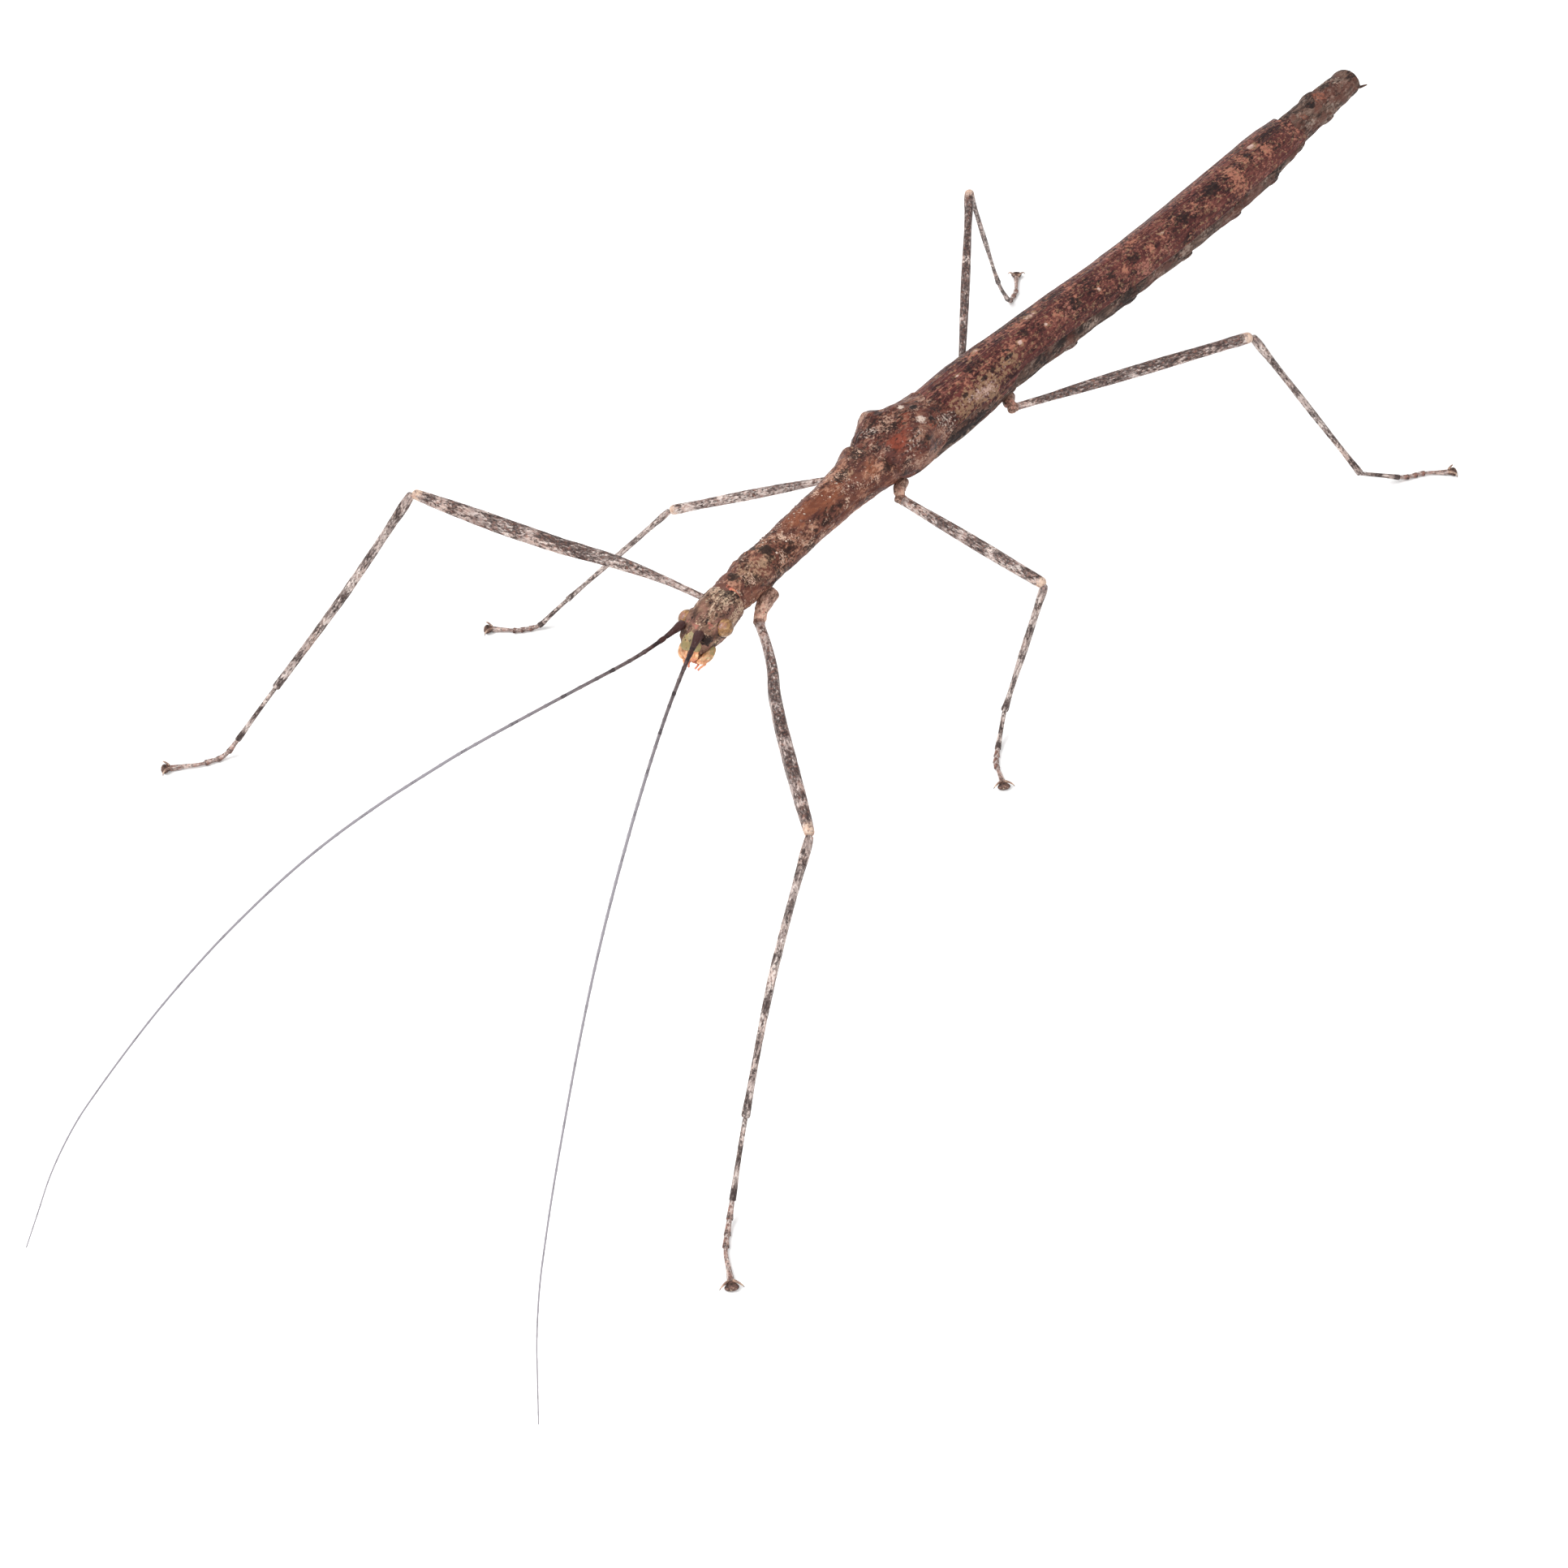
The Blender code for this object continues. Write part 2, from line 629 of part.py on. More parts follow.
def build_leg(shop, pair, side):
    sign = SIDES[side]
    trochanter, knee, ankle, heel, sole = (Vector(joint) for joint in LEG_JOINTS[pair][side])
    heel.z = sole.z = SOLE_LIFT
    last_joint = (sole - heel).normalized()
    sole -= last_joint * PAD_SECTIONS[-1][0]
    root, outward = coxa_root(pair, sign)
    label = f"{pair}_{side}"
    femur_bends = FORE_FEMUR_BENDS[side] if pair == "fore" else ()
    tibia_bends = FORE_TIBIA_BENDS[side] if pair == "fore" else ()
    femur_points, femur_radii = along_profile(trochanter, knee, FEMUR, FEMUR_GIRTH[pair], femur_bends)
    tibia_points, tibia_radii = along_profile(knee, ankle, TIBIA, 1.0, tibia_bends)
    into_femur = (femur_points[1] - femur_points[0]).normalized()
    into_tibia = (tibia_points[1] - tibia_points[0]).normalized()
    into_tarsus = (heel - ankle).normalized()
    out_of_coxa = (trochanter - root).normalized()

    coxa = limb([root, trochanter], COXA_RADII[pair], None, into_femur)
    trim(coxa, root + outward * SEAM, -outward)
    shop.add("coxa_" + label, coxa, trochanter, "cuticle")

    femur = limb(femur_points, femur_radii, -out_of_coxa, into_tibia)
    shop.add("femur_" + label, femur, trochanter, "leg")

    into_knee = (femur_points[-1] - femur_points[-2]).normalized()
    tibia = limb(tibia_points, tibia_radii, -into_knee, into_tarsus)
    shop.add("tibia_" + label, tibia, knee, "leg")

    inward = Vector((-sign, 0, 0))
    inward -= last_joint * inward.dot(last_joint)
    middle = heel.lerp(sole, 0.4) + inward.normalized() * TARSUS_BULGE
    path = [ankle, ankle.lerp(heel, 0.9), heel.lerp(middle, 0.2), middle, sole]
    out_of_tibia = (tibia_points[-1] - tibia_points[-2]).normalized()
    tarsus = limb(path, [TARSUS_RADIUS] * len(path), -out_of_tibia, None)
    trim(tarsus, Vector((0, 0, 0)), Vector((0, 0, -1)))
    shop.add("tarsus_" + label, tarsus, ankle, "leg")

    shop.add("claws_" + label, foot_pad(sole, last_joint), sole, "pad")


def foot_pad(sole, ahead):
    """The spread pad and claws at the end of a foot, flat on the floor."""
    across = Vector((-ahead.y, ahead.x, 0))
    rings = []
    for reach, half_width, half_height in PAD_SECTIONS:
        centre = sole + ahead * (reach + SEAM / 2)
        ring = []
        for step in range(PAD_SIDES):
            angle = math.tau * step / PAD_SIDES
            point = centre + across * half_width * math.cos(angle)
            ring.append(point + Vector((0, 0, half_height * math.sin(angle))))
        rings.append(ring)
    pad = loft(rings)
    trim(pad, Vector((0, 0, 0)), Vector((0, 0, -1)))
    return pad


def build_legs(shop):
    for pair in LEG_JOINTS:
        for side in SIDES:
            build_leg(shop, pair, side)


def main():
    clear_scene()
    shop = Workshop()
    build_head(shop)
    build_feelers(shop)
    build_thorax(shop)
    build_abdomen(shop)
    build_tail(shop)
    build_hindwings(shop)
    build_tegmina(shop)
    build_legs(shop)
    bpy.context.view_layer.update()


main()
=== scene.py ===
"""Stick insect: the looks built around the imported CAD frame.

A still, life-size museum model of a winged stick insect that stands on its six feet.
Lengths are in millimetres in the insect's own plan: x to its left, y from its face back to its
tail, z up from the floor. Every place is read from the CAD solids, and the finished meshes are in
metres in the CAD's own frame. Angles round the body are degrees up from its left side: 90 is on
top and -90 underneath.
"""

import logging
import math
from collections.abc import Callable, Sequence
from dataclasses import dataclass, field
from enum import Enum

import bmesh
import bpy
import numpy as np
from mathutils import Matrix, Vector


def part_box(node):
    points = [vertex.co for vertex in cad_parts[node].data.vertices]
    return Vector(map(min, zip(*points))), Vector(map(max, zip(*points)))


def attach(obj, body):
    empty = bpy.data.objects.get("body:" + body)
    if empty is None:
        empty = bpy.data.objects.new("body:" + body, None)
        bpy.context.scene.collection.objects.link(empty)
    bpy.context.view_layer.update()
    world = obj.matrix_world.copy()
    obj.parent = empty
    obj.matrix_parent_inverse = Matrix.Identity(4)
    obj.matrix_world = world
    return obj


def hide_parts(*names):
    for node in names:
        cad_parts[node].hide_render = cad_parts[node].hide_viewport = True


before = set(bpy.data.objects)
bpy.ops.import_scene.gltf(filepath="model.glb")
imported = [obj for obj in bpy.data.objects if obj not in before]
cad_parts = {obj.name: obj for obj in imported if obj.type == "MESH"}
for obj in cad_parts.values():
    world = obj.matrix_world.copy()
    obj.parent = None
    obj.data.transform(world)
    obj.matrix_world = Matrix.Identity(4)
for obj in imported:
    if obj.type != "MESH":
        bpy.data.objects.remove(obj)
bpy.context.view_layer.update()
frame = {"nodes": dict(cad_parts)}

LOG = logging.getLogger("stick_insect")
MM = 0.001
BODY = "root"
SIDES = {"left": 1, "right": -1}
UPRIGHT = np.eye(3)  # sideways, along the body and up
UP = UPRIGHT[2]
PRONOTUM_FRONT = 4.55  # the plan's y at the front end of the prothorax
BACK_HEIGHT, BACK_REACH = 14.5, 9.0  # patches on the back reach its whole height

Array = np.ndarray
Skin = bmesh.types.BMesh
Tree = bpy.types.NodeTree
Socket = bpy.types.NodeSocket
Outline = Callable[[Array, Array], Array]
Relief = Callable[[Array, Array, Array], Array]


def plan_origin() -> Array:
    """The plan's origin in the CAD frame, in millimetres, from the prothorax."""
    low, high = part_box("prothorax")
    return np.array(((low.x + high.x) / 2 / MM, low.y / MM - PRONOTUM_FRONT, 0.0))


ORIGIN = plan_origin()


def unit(vector: Array) -> Array:
    """Returns a vector, or each row of vectors, at a length of one."""
    return vector / np.linalg.norm(vector, axis=-1, keepdims=True)


def measured(line: Array) -> Array:
    """Rows of the distance along a line and the point there."""
    return np.column_stack((np.append(0, np.linalg.norm(np.diff(line, axis=0), axis=1).cumsum()), line))


def read_curve(table: Sequence, places: Array) -> Array:
    """Reads a smooth curve through the rows of a table.

    Args:
        table: rows of a place and one or more values, in order of place.
        places: where to read; beyond the ends the end values hold.

    Returns:
        The values there, as one column, or as one row per place where the table has several.
    """
    rows = np.array(table, float)
    knots, values = rows[:, 0], rows[:, 1:]
    slopes = np.gradient(values, knots, axis=0)
    places = np.clip(places, knots[0], knots[-1])
    span = np.clip(np.searchsorted(knots, places, side="right") - 1, 0, len(knots) - 2)
    reach = (knots[span + 1] - knots[span])[..., None]
    t = (places - knots[span])[..., None] / reach
    found = (
        values[span] * (2 * t**3 - 3 * t**2 + 1)
        + slopes[span] * reach * (t**3 - 2 * t**2 + t)
        + values[span + 1] * (3 * t**2 - 2 * t**3)
        + slopes[span + 1] * reach * (t**3 - t**2)
    )
    return found[..., 0] if values.shape[1] == 1 else found


def straight_line(*points: Sequence[float], count: int = 0) -> Array:
    """Knots through points; a smooth curve of count knots where count is given."""
    rows = measured(np.array(points, float))
    return read_curve(rows, np.linspace(0, rows[-1, 0], count)) if count else rows[:, 1:]


def rough(points: Array, size: float, seed: int = 0, stretch: float = 1.0) -> Array:
    """Smooth random relief.

    Args:
        points: places in millimetres, one row each.
        size: width of a lump in millimetres.
        seed: picks another set of lumps.
        stretch: how many times longer a lump is along y than across.

    Returns:
        A height from -1 to 1 for each point.
    """
    cells = points / (size * np.array((1.0, stretch, 1.0))) + seed * 17.31
    base = np.floor(cells)
    part = cells - base
    part = part * part * (3 - 2 * part)
    total = np.zeros(len(points))
    for corner in range(8):
        offset = np.array((corner & 1, corner >> 1 & 1, corner >> 2))
        hashed = np.sin((base + offset) @ np.array((12.9898, 78.233, 37.719))) * 43758.5453
        weight = np.prod(np.where(offset == 1, part, 1 - part), axis=1)
        total += (2 * (hashed - np.floor(hashed)) - 1) * weight
    return total


def bark(points: Array, *grains: Sequence[float]) -> Array:
    """Random relief of several sizes, each a row of its height and what rough() takes."""
    return sum(height * rough(points, *grain) for height, *grain in grains)


def ridge(distance: Array, width: float) -> Array:
    """A rounded ridge: 1 on its line, 0 beyond its width."""
    return np.clip(1 - (distance / width) ** 2, 0, 1) ** 2


def angle_gap(angle: Array, at: float) -> Array:
    """How far angles in degrees are from one angle, the short way round."""
    return (angle - at + 180) % 360 - 180


def rib(degrees: Array, at: float, width: float) -> Array:
    """A ridge along a form, at one angle round it."""
    return ridge(angle_gap(degrees, at), width)


def ribs(degrees: Array, at: float, width: float) -> Array:
    """Two ribs, one on each side of the body."""
    return rib(degrees, at, width) + rib(degrees, 180 - at, width)


def heading(turn: Array) -> tuple[Array, Array]:
    """How far sideways and how far up the way out is, at a turn round a form from underneath."""
    return np.cos(math.tau * turn - math.pi / 2), np.sin(math.tau * turn - math.pi / 2)


def offsets(side: Array, up: Array) -> Array:
    """An outline's offsets sideways, forward and up, with none forward."""
    return np.stack((side, 0 * side, up), axis=1)


class Solid:
    """A CAD solid, measured by plane cuts."""

    def __init__(self, name: str) -> None:
        """Reads the solid's triangles, in millimetres in the insect's plan."""
        mesh = frame["nodes"][name].data
        mesh.calc_loop_triangles()
        points = np.array([vert.co for vert in mesh.vertices]) / MM - ORIGIN
        self.triangles = points[np.array([tri.vertices for tri in mesh.loop_triangles])]
        self.points = self.triangles.reshape(-1, 3)
        self.low, self.high = self.points.min(0), self.points.max(0)
        self.middle = (self.low + self.high) / 2

    def cut(self, point: Array, normal: Array) -> Array:
        """The points where the surface's edges cross a plane."""
        heights = (self.triangles - point) @ normal
        found = []
        for near, far in ((0, 1), (1, 2), (2, 0)):
            crossing = (heights[:, near] < 0) != (heights[:, far] < 0)
            start, end = self.triangles[crossing, near], self.triangles[crossing, far]
            share = heights[crossing, near] / (heights[crossing, near] - heights[crossing, far])
            found.append(start + (end - start) * share[:, None])
        return np.concatenate(found)

    def profile(self, stations: int) -> Array:
        """Rows of y, half width, height of the widest line, rise over it and depth below it."""
        rows = []
        for y in np.linspace(self.low[1] + 0.03, self.high[1] - 0.03, stations):
            ring = self.cut(np.array((0, y, 0)), UPRIGHT[1])
            half_width = np.abs(ring[:, 0]).max()
            axis = ring[np.abs(ring[:, 0]) > half_width - 0.01, 2].mean()
            rows.append((y, half_width, axis, ring[:, 2].max() - axis, axis - ring[:, 2].min()))
        return np.array(rows)

    def centre_line(self, start: Array, stations: int = 9) -> Array:
        """Points up the middle of a long solid, from the end that is nearer to start."""
        _, _, axes = np.linalg.svd(self.points - self.points.mean(0), full_matrices=False)
        chord = axes[0] if (start - self.middle) @ axes[0] <= 0 else -axes[0]
        places = (self.points - self.middle) @ chord
        line = []
        for share in np.linspace(0.08, 0.92, stations):
            centre = self.middle + chord * (places.min() + share * np.ptp(places))
            ring = (self.cut(centre, chord) - self.middle) @ axes[1:].T
            line.append(centre + (ring.min(0) + ring.max(0)) / 2 @ axes[1:])
        return np.array(line)


def meeting(near: Array, far: Array) -> Array:
    """The joint between two centre lines: where the end of one comes nearest to the next's start."""
    along, ahead = unit(near[-1] - near[-2]), unit(far[1] - far[0])
    apart, turn = near[-1] - far[0], along @ ahead
    if 1 - turn**2 < 0.08:
        return (near[-1] + far[0]) / 2
    reach = (turn * (ahead @ apart) - along @ apart) / (1 - turn**2)
    back = (ahead @ apart - turn * (along @ apart)) / (1 - turn**2)
    return (near[-1] + along * reach + far[0] + ahead * back) / 2


# Finishes


class Mark(Enum):
    """The three painted masks of a piece, which call up layers of its finish."""

    NONE = -1
    DARK = 0
    PALE = 1
    WARM = 2


@dataclass(frozen=True)
class Layer:
    """Marks of one colour over a finish.

    Attributes:
        colour: sRGB hex.
        size: how wide one mark is, in millimetres.
        cover: the share of the surface that the marks take.
        stretch: how many times longer than wide a mark is, along the piece.
        strength: how strongly the marks cover what is under them.
        soft: how soft their edges are.
        cluster: how wide the groups are that the marks gather in, in millimetres; 0 for none.
        lift: how far the marks stand up, in millimetres.
        mark: the painted mask that calls the layer, if one does.
        ragged: how far noise breaks the edge of a painted mark.
        edge: the value of the painted mask at which half of its middle is covered.
    """

    colour: str
    size: float
    cover: float = 0.3
    stretch: float = 1.0
    strength: float = 1.0
    soft: float = 0.06
    cluster: float = 0.0
    lift: float = 0.0
    mark: Mark = Mark.NONE
    ragged: float = 2.2
    edge: float = 0.5


def painted(
    mark: Mark,
    colour: str,
    size: float,
    strength: float,
    soft: float,
    ragged: float = 2.2,
    stretch: float = 1.0,
    edge: float = 0.5,
) -> Layer:
    """A layer that a painted mask calls; its arguments are the layer's attributes."""
    return Layer(colour, size, 0.3, stretch, strength, soft, mark=mark, ragged=ragged, edge=edge)


def linear(colour: str) -> tuple[float, float, float, float]:
    """Turns an sRGB hex colour to the linear values that a shader takes."""
    parts = [int(colour[i : i + 2], 16) / 255 for i in (1, 3, 5)]
    red, green, blue = (p / 12.92 if p <= 0.04045 else ((p + 0.055) / 1.055) ** 2.4 for p in parts)
    return red, green, blue, 1.0


def add_node(tree: Tree, kind: str, settings: dict, links: dict) -> bpy.types.Node:
    """Adds one node.

    Args:
        tree: the material's node tree.
        kind: the node's type name, without ShaderNode.
        settings: attributes, or inputs by name or number, and their values.
        links: inputs by name or number, and the output sockets that feed them.

    Returns:
        The new node.
    """
    node = tree.nodes.new("ShaderNode" + kind)
    for name, value in settings.items():
        if isinstance(name, str) and hasattr(node, name):
            setattr(node, name, value)
        else:
            node.inputs[name].default_value = value
    for name, socket in links.items():
        tree.links.new(socket, node.inputs[name])
    return node


@dataclass(frozen=True)
class Finish:
    """A surface of streaked shades with layers of marks over them and a fine grain.

    Attributes:
        name: what it is and how it is made.
        shades: sRGB hex colours of the ground, dark to light.
        streak: width in millimetres and stretch of the ground's streaks.
        layers: the marks over the ground, the first one lowest.
        roughness: typical roughness.
        grain: size of the fine grain in millimetres.
        grain_height: height of the fine grain in millimetres.
        specular: strength of the gloss.
        subsurface: how much light passes into the skin.
        coat: a clear glossy layer.
    """

    name: str
    shades: str
    streak: tuple[float, float]
    layers: tuple[Layer, ...]
    roughness: float
    grain: float = 0.08
    grain_height: float = 0.01
    specular: float = 0.4
    subsurface: float = 0.0
    coat: float = 0.0

    def material(self) -> bpy.types.Material:
        """The material, made on first use."""
        found = bpy.data.materials.get(self.name)
        if found:
            return found
        made = bpy.data.materials.new(self.name)
        made.use_nodes = True
        tree = made.node_tree
        place = add_node(tree, "Attribute", {"attribute_name": "straight"}, {}).outputs["Vector"]
        marks = add_node(tree, "Attribute", {"attribute_name": "marks"}, {}).outputs["Vector"]
        masks = add_node(tree, "SeparateXYZ", {}, {0: marks}).outputs
        height = self.noise(tree, place, *self.streak, 99, 6.0)
        ramp = add_node(tree, "ValToRGB", {}, {0: height})
        shades = self.shades.split()
        for at, shade in zip(np.linspace(0.33, 0.67, len(shades)), shades):
            ramp.color_ramp.elements.new(at).color = linear(shade)
        for end in (-1, 0):
            ramp.color_ramp.elements.remove(ramp.color_ramp.elements[end])
        colour = ramp.outputs[0]
        for number, layer in enumerate(self.layers):
            share = self.layer_share(tree, place, masks, layer, number)
            settings = {"data_type": "RGBA", 7: linear(layer.colour)}
            colour = add_node(tree, "Mix", settings, {0: share, 6: colour}).outputs[2]
            if layer.lift:
                settings = {"operation": "MULTIPLY_ADD", 1: layer.lift / self.grain_height}
                height = add_node(tree, "Math", settings, {0: share, 2: height}).outputs[0]
        grain = self.noise(tree, place, self.grain, 1.3, 77, 3.0)
        height = add_node(tree, "Math", {}, {0: height, 1: grain}).outputs[0]
        settings = {"Strength": 1.0, "Distance": self.grain_height * MM}
        bump = add_node(tree, "Bump", settings, {"Height": height}).outputs[0]
        settings = {"From Min": 0.3, "From Max": 0.7, 3: self.roughness - 0.1, 4: self.roughness + 0.12}
        gloss = add_node(tree, "MapRange", settings, {0: grain}).outputs[0]
        shader = tree.nodes["Principled BSDF"].inputs
        for name, socket in (("Base Color", colour), ("Roughness", gloss), ("Normal", bump)):
            tree.links.new(socket, shader[name])
        for name, value in (
            ("Specular IOR Level", self.specular),
            ("IOR", 1.54),
            ("Coat Weight", self.coat),
            ("Coat Roughness", 0.12),
            ("Subsurface Weight", self.subsurface),
            ("Subsurface Scale", 0.25 * MM),
            ("Subsurface Radius", (1.0, 0.5, 0.3)),
        ):
            shader[name].default_value = value
        return made

    def noise(
        self, tree: Tree, place: Socket, size: float, stretch: float, seed: float, detail: float
    ) -> Socket:
        """Adds stretched noise.

        Args:
            tree: the material's node tree.
            place: the socket with the piece's own straightened coordinates.
            size: width of a lump in millimetres.
            stretch: how many times longer a lump is than wide.
            seed: moves the pattern away from the others.
            detail: how many finer layers it has.

        Returns:
            The socket with the noise, about 0.5.
        """
        across = 0.5 / size
        away, scale = (7.3 * seed, 3.1 * seed, 5.7 * seed), (across, across / stretch, across)
        turned = add_node(tree, "Mapping", {"Location": away, "Scale": scale}, {0: place}).outputs[0]
        settings = {"Scale": 1.0, "Detail": detail, "Roughness": 0.62}
        return add_node(tree, "TexNoise", settings, {0: turned}).outputs["Fac"]

    def layer_share(
        self, tree: Tree, place: Socket, masks: Sequence[Socket], layer: Layer, number: int
    ) -> Socket:
        """Adds the nodes that give how much of a layer shows at each point.

        Args:
            tree: the material's node tree.
            place: the socket with the piece's own straightened coordinates.
            masks: the sockets of the three painted masks.
            layer: the layer.
            number: its number, which moves its pattern away from the others'.

        Returns:
            The socket with the share, from 0 to 1.
        """
        share = self.noise(tree, place, layer.size, layer.stretch, number, 4.0)
        edge = 0.5 + 0.075 * math.log((1 - layer.cover) / layer.cover)
        extra, raised = None, {"operation": "MULTIPLY_ADD", 1: 1.0}
        if layer.mark is not Mark.NONE:
            extra, edge = masks[layer.mark.value], layer.edge + 0.5 * layer.ragged
            raised[1] = layer.ragged
        elif layer.cluster:
            extra = self.noise(tree, place, layer.cluster, layer.stretch, number + 30, 2.0)
            edge += 0.5
        if extra:
            share = add_node(tree, "Math", raised, {0: share, 2: extra}).outputs[0]
        settings = {
            "interpolation_type": "SMOOTHSTEP",
            "From Min": edge - layer.soft,
            "From Max": edge + layer.soft,
            "To Max": layer.strength,
        }
        return add_node(tree, "MapRange", settings, {0: share}).outputs[0]


# Insect cuticle is sclerotised chitin: a hard, faintly waxy skin whose pigment lies in patches
# and flecks, so it looks like bark. Its sheen is low and broken by a grain of under a tenth of a mm.
HEAD_SKIN = Finish(
    "mottled_head_cuticle",
    "#3f2c25 #553c31 #694d3f #7d5f4d #947661",
    (0.2, 2.4),
    (
        Layer("#bda28c", 0.078, 0.17, 2.2, 0.85, 0.09, 0.6, 0.006),
        Layer("#1f1310", 0.087, 0.19, 2.6, 0.88, 0.09, 0.5),
        Layer("#82584e", 0.17, 0.25, 1.5, 0.5, 0.08, 0.9),
        # The dark mask marks streaks and patches, and paints shade round the lower half of each eye.
        painted(Mark.DARK, "#1c1110", 0.0744, 0.95, 0.1),
        painted(Mark.PALE, "#bca288", 0.062, 0.88, 0.1),
        painted(Mark.WARM, "#a05f54", 0.0992, 0.85, 0.15),
    ),
    roughness=0.5,
    grain_height=0.02,
    specular=0.15,
)
THORAX_SKIN = Finish(
    "grained_thorax_cuticle",
    "#38201b #4c2b26 #5c372d #6d4337 #7f5542",
    (0.24, 2.6),
    (
        painted(Mark.WARM, "#7d4830", 0.1, 0.7, 0.3, stretch=4.0),
        painted(Mark.PALE, "#a08269", 0.1, 0.7, 0.25, 3.0),
        Layer("#552d22", 0.2, 0.25, 2.5, 0.6, 0.1, 0.9),
        Layer("#a67a64", 0.1, 0.17, 1.6, 0.8, 0.1, 0.8, 0.008),
        painted(Mark.DARK, "#211814", 0.09, 0.85, 0.15, 2.6),
        Layer("#20110e", 0.1, 0.18, 2.0, 0.85, 0.1, 0.6),
        Layer("#bd9d8a", 0.06, 0.09, 1.0, 0.85, 0.05, 0.5, 0.008),
    ),
    roughness=0.48,
    grain_height=0.024,
    specular=0.15,
)
ABDOMEN_SKIN = Finish(
    "streaked_abdomen_cuticle",
    "#30231f #42312b #534038 #655046 #786359",
    (0.16, 4.0),
    (
        Layer("#988579", 0.08, 0.15, 1.8, 0.8, 0.12, 0.5, 0.008),
        Layer("#1b1313", 0.095, 0.24, 2.6, 0.85, 0.09, 0.7),
        Layer("#60372e", 0.26, 0.3, 2.0, 0.5, 0.1, 1.6),
        # On the metathorax the dark mask is painted shade under the wing's edge; on the rings it marks dark
        # edges and streaks.
        painted(Mark.DARK, "#1c1414", 0.0992, 0.9, 0.12, stretch=2.0),
        painted(Mark.PALE, "#a69486", 0.0744, 0.8, 0.1),
        painted(Mark.WARM, "#8a5443", 0.09, 0.75, 0.25),
    ),
    roughness=0.6,
    grain_height=0.024,
    specular=0.12,
)
# The folded wing is a parchment-like membrane over long veins, pigmented like red bark: fine dark
# streaks run along the veins, and clusters of pale pinkish flecks lie across them.
WING_SKIN = Finish(
    "folded_wing_membrane",
    "#200d0e #311416 #421e1d #512624 #64332e",
    (0.12, 9.0),
    (
        Layer("#5c2f2b", 0.28, 0.3, 3.0, 0.5, 0.12, 1.6),
        Layer("#170a0c", 0.09, 0.24, 6.0, 0.75, 0.1, 1.1),
        Layer("#74443b", 0.12, 0.15, 2.2, 0.7, 0.1, 1.0, 0.005),
        Layer("#9d685a", 0.08, 0.06, 1.8, 0.8, 0.09, 0.9, 0.006),
        painted(Mark.WARM, "#a56c58", 0.1, 0.8, 0.3, 3.2, 1.7),
        painted(Mark.PALE, "#8f7056", 0.12, 0.75, 0.25, 3.4, 1.5, 0.36),
        painted(Mark.DARK, "#180d0e", 0.1, 0.85, 0.18, 2.4, 2.2),
        painted(Mark.PALE, "#c3a59c", 0.08, 0.85, 0.2, 1.2, 1.3, 0.65),
    ),
    roughness=0.45,
    grain=0.06,
    grain_height=0.014,
    specular=0.14,
)
COVER_SKIN = Finish(
    "leathery_wing_cover",
    "#2c1612 #3e1f1a #4f2922 #5f352b #704638",
    (0.2, 3.0),
    (
        painted(Mark.WARM, "#7e3b2a", 0.12, 0.75, 0.3, 1.6, 2.5),
        Layer("#896351", 0.1, 0.22, 1.6, 0.8, 0.1, 0.7, 0.01),
        Layer("#1c0e0c", 0.1, 0.25, 2.0, 0.85, 0.1, 0.6),
        Layer("#a38271", 0.065, 0.1, 1.3, 0.85, 0.06, 0.6, 0.01),
        painted(Mark.DARK, "#1a0f0e", 0.08, 0.95, 0.12, 1.4),
        painted(Mark.PALE, "#c9b6a9", 0.09, 0.85, 0.25, 2.2, edge=0.6),
    ),
    roughness=0.42,
    grain_height=0.024,
    specular=0.16,
)
# The leg's skin is pale and slightly see-through, with grey-brown pigment in fine streaks and bands.
LEG_SKIN = Finish(
    "banded_leg_cuticle",
    "#786b67 #90817c #a69690 #baaba5 #cbbeb8",
    (0.1, 5.0),
    (
        Layer("#bb9a8b", 0.3, 0.25, 3.0, 0.45, 0.15, 1.5),
        Layer("#5b4e4b", 0.07, 0.22, 4.0, 0.7, 0.1, 0.5),
        Layer("#ded2cb", 0.06, 0.15, 2.0, 0.65, 0.08, 0.5),
        painted(Mark.DARK, "#463836", 0.1, 0.8, 0.16, 3.0, 4.0),
        Layer("#2a1f1e", 0.075, 0.1, 1.7, 0.85, 0.05, 0.35),
        painted(Mark.DARK, "#2a1f1e", 0.06, 0.75, 0.15, 4.4, 2.2),
        painted(Mark.PALE, "#d3b8a2", 0.08, 0.75, 0.25),
        painted(Mark.WARM, "#96685a", 0.1, 0.6, 0.35),
    ),
    roughness=0.5,
    grain=0.06,
    grain_height=0.014,
    subsurface=0.05,
    specular=0.15,
)
COXA_SKIN = Finish(
    "pinkish_coxa_cuticle",
    "#4b352e #694d42 #87675a #a07f70 #b69788",
    (0.1, 2.0),
    (
        Layer("#c4a797", 0.05, 0.16, 1.5, 0.6, 0.09, 0.5),
        Layer("#3a2a25", 0.06, 0.18, 2.0, 0.7, 0.09, 0.5),
        painted(Mark.DARK, "#281d19", 0.07, 0.9, 0.15),
        painted(Mark.PALE, "#cfae98", 0.08, 0.8, 0.25),
        painted(Mark.WARM, "#b2796a", 0.09, 0.75, 0.3),
    ),
    roughness=0.5,
    grain_height=0.02,
    subsurface=0.05,
    specular=0.15,
)
FEELER_SKIN = Finish(
    "ringed_feeler_cuticle",
    "#2f2625 #413534 #544645 #685957 #7c6d6b",
    (0.06, 6.0),
    (
        Layer("#1f1817", 0.05, 0.2, 3.0, 0.6, 0.1, 0.4),
        painted(Mark.WARM, "#3d2220", 0.08, 0.85, 0.25, 1.4),
        painted(Mark.PALE, "#918d93", 0.06, 0.95, 0.45, 0.5),
        painted(Mark.DARK, "#262023", 0.05, 0.75, 0.25, 0.8),
    ),
    roughness=0.5,
    grain=0.04,
    grain_height=0.008,
    specular=0.12,
)
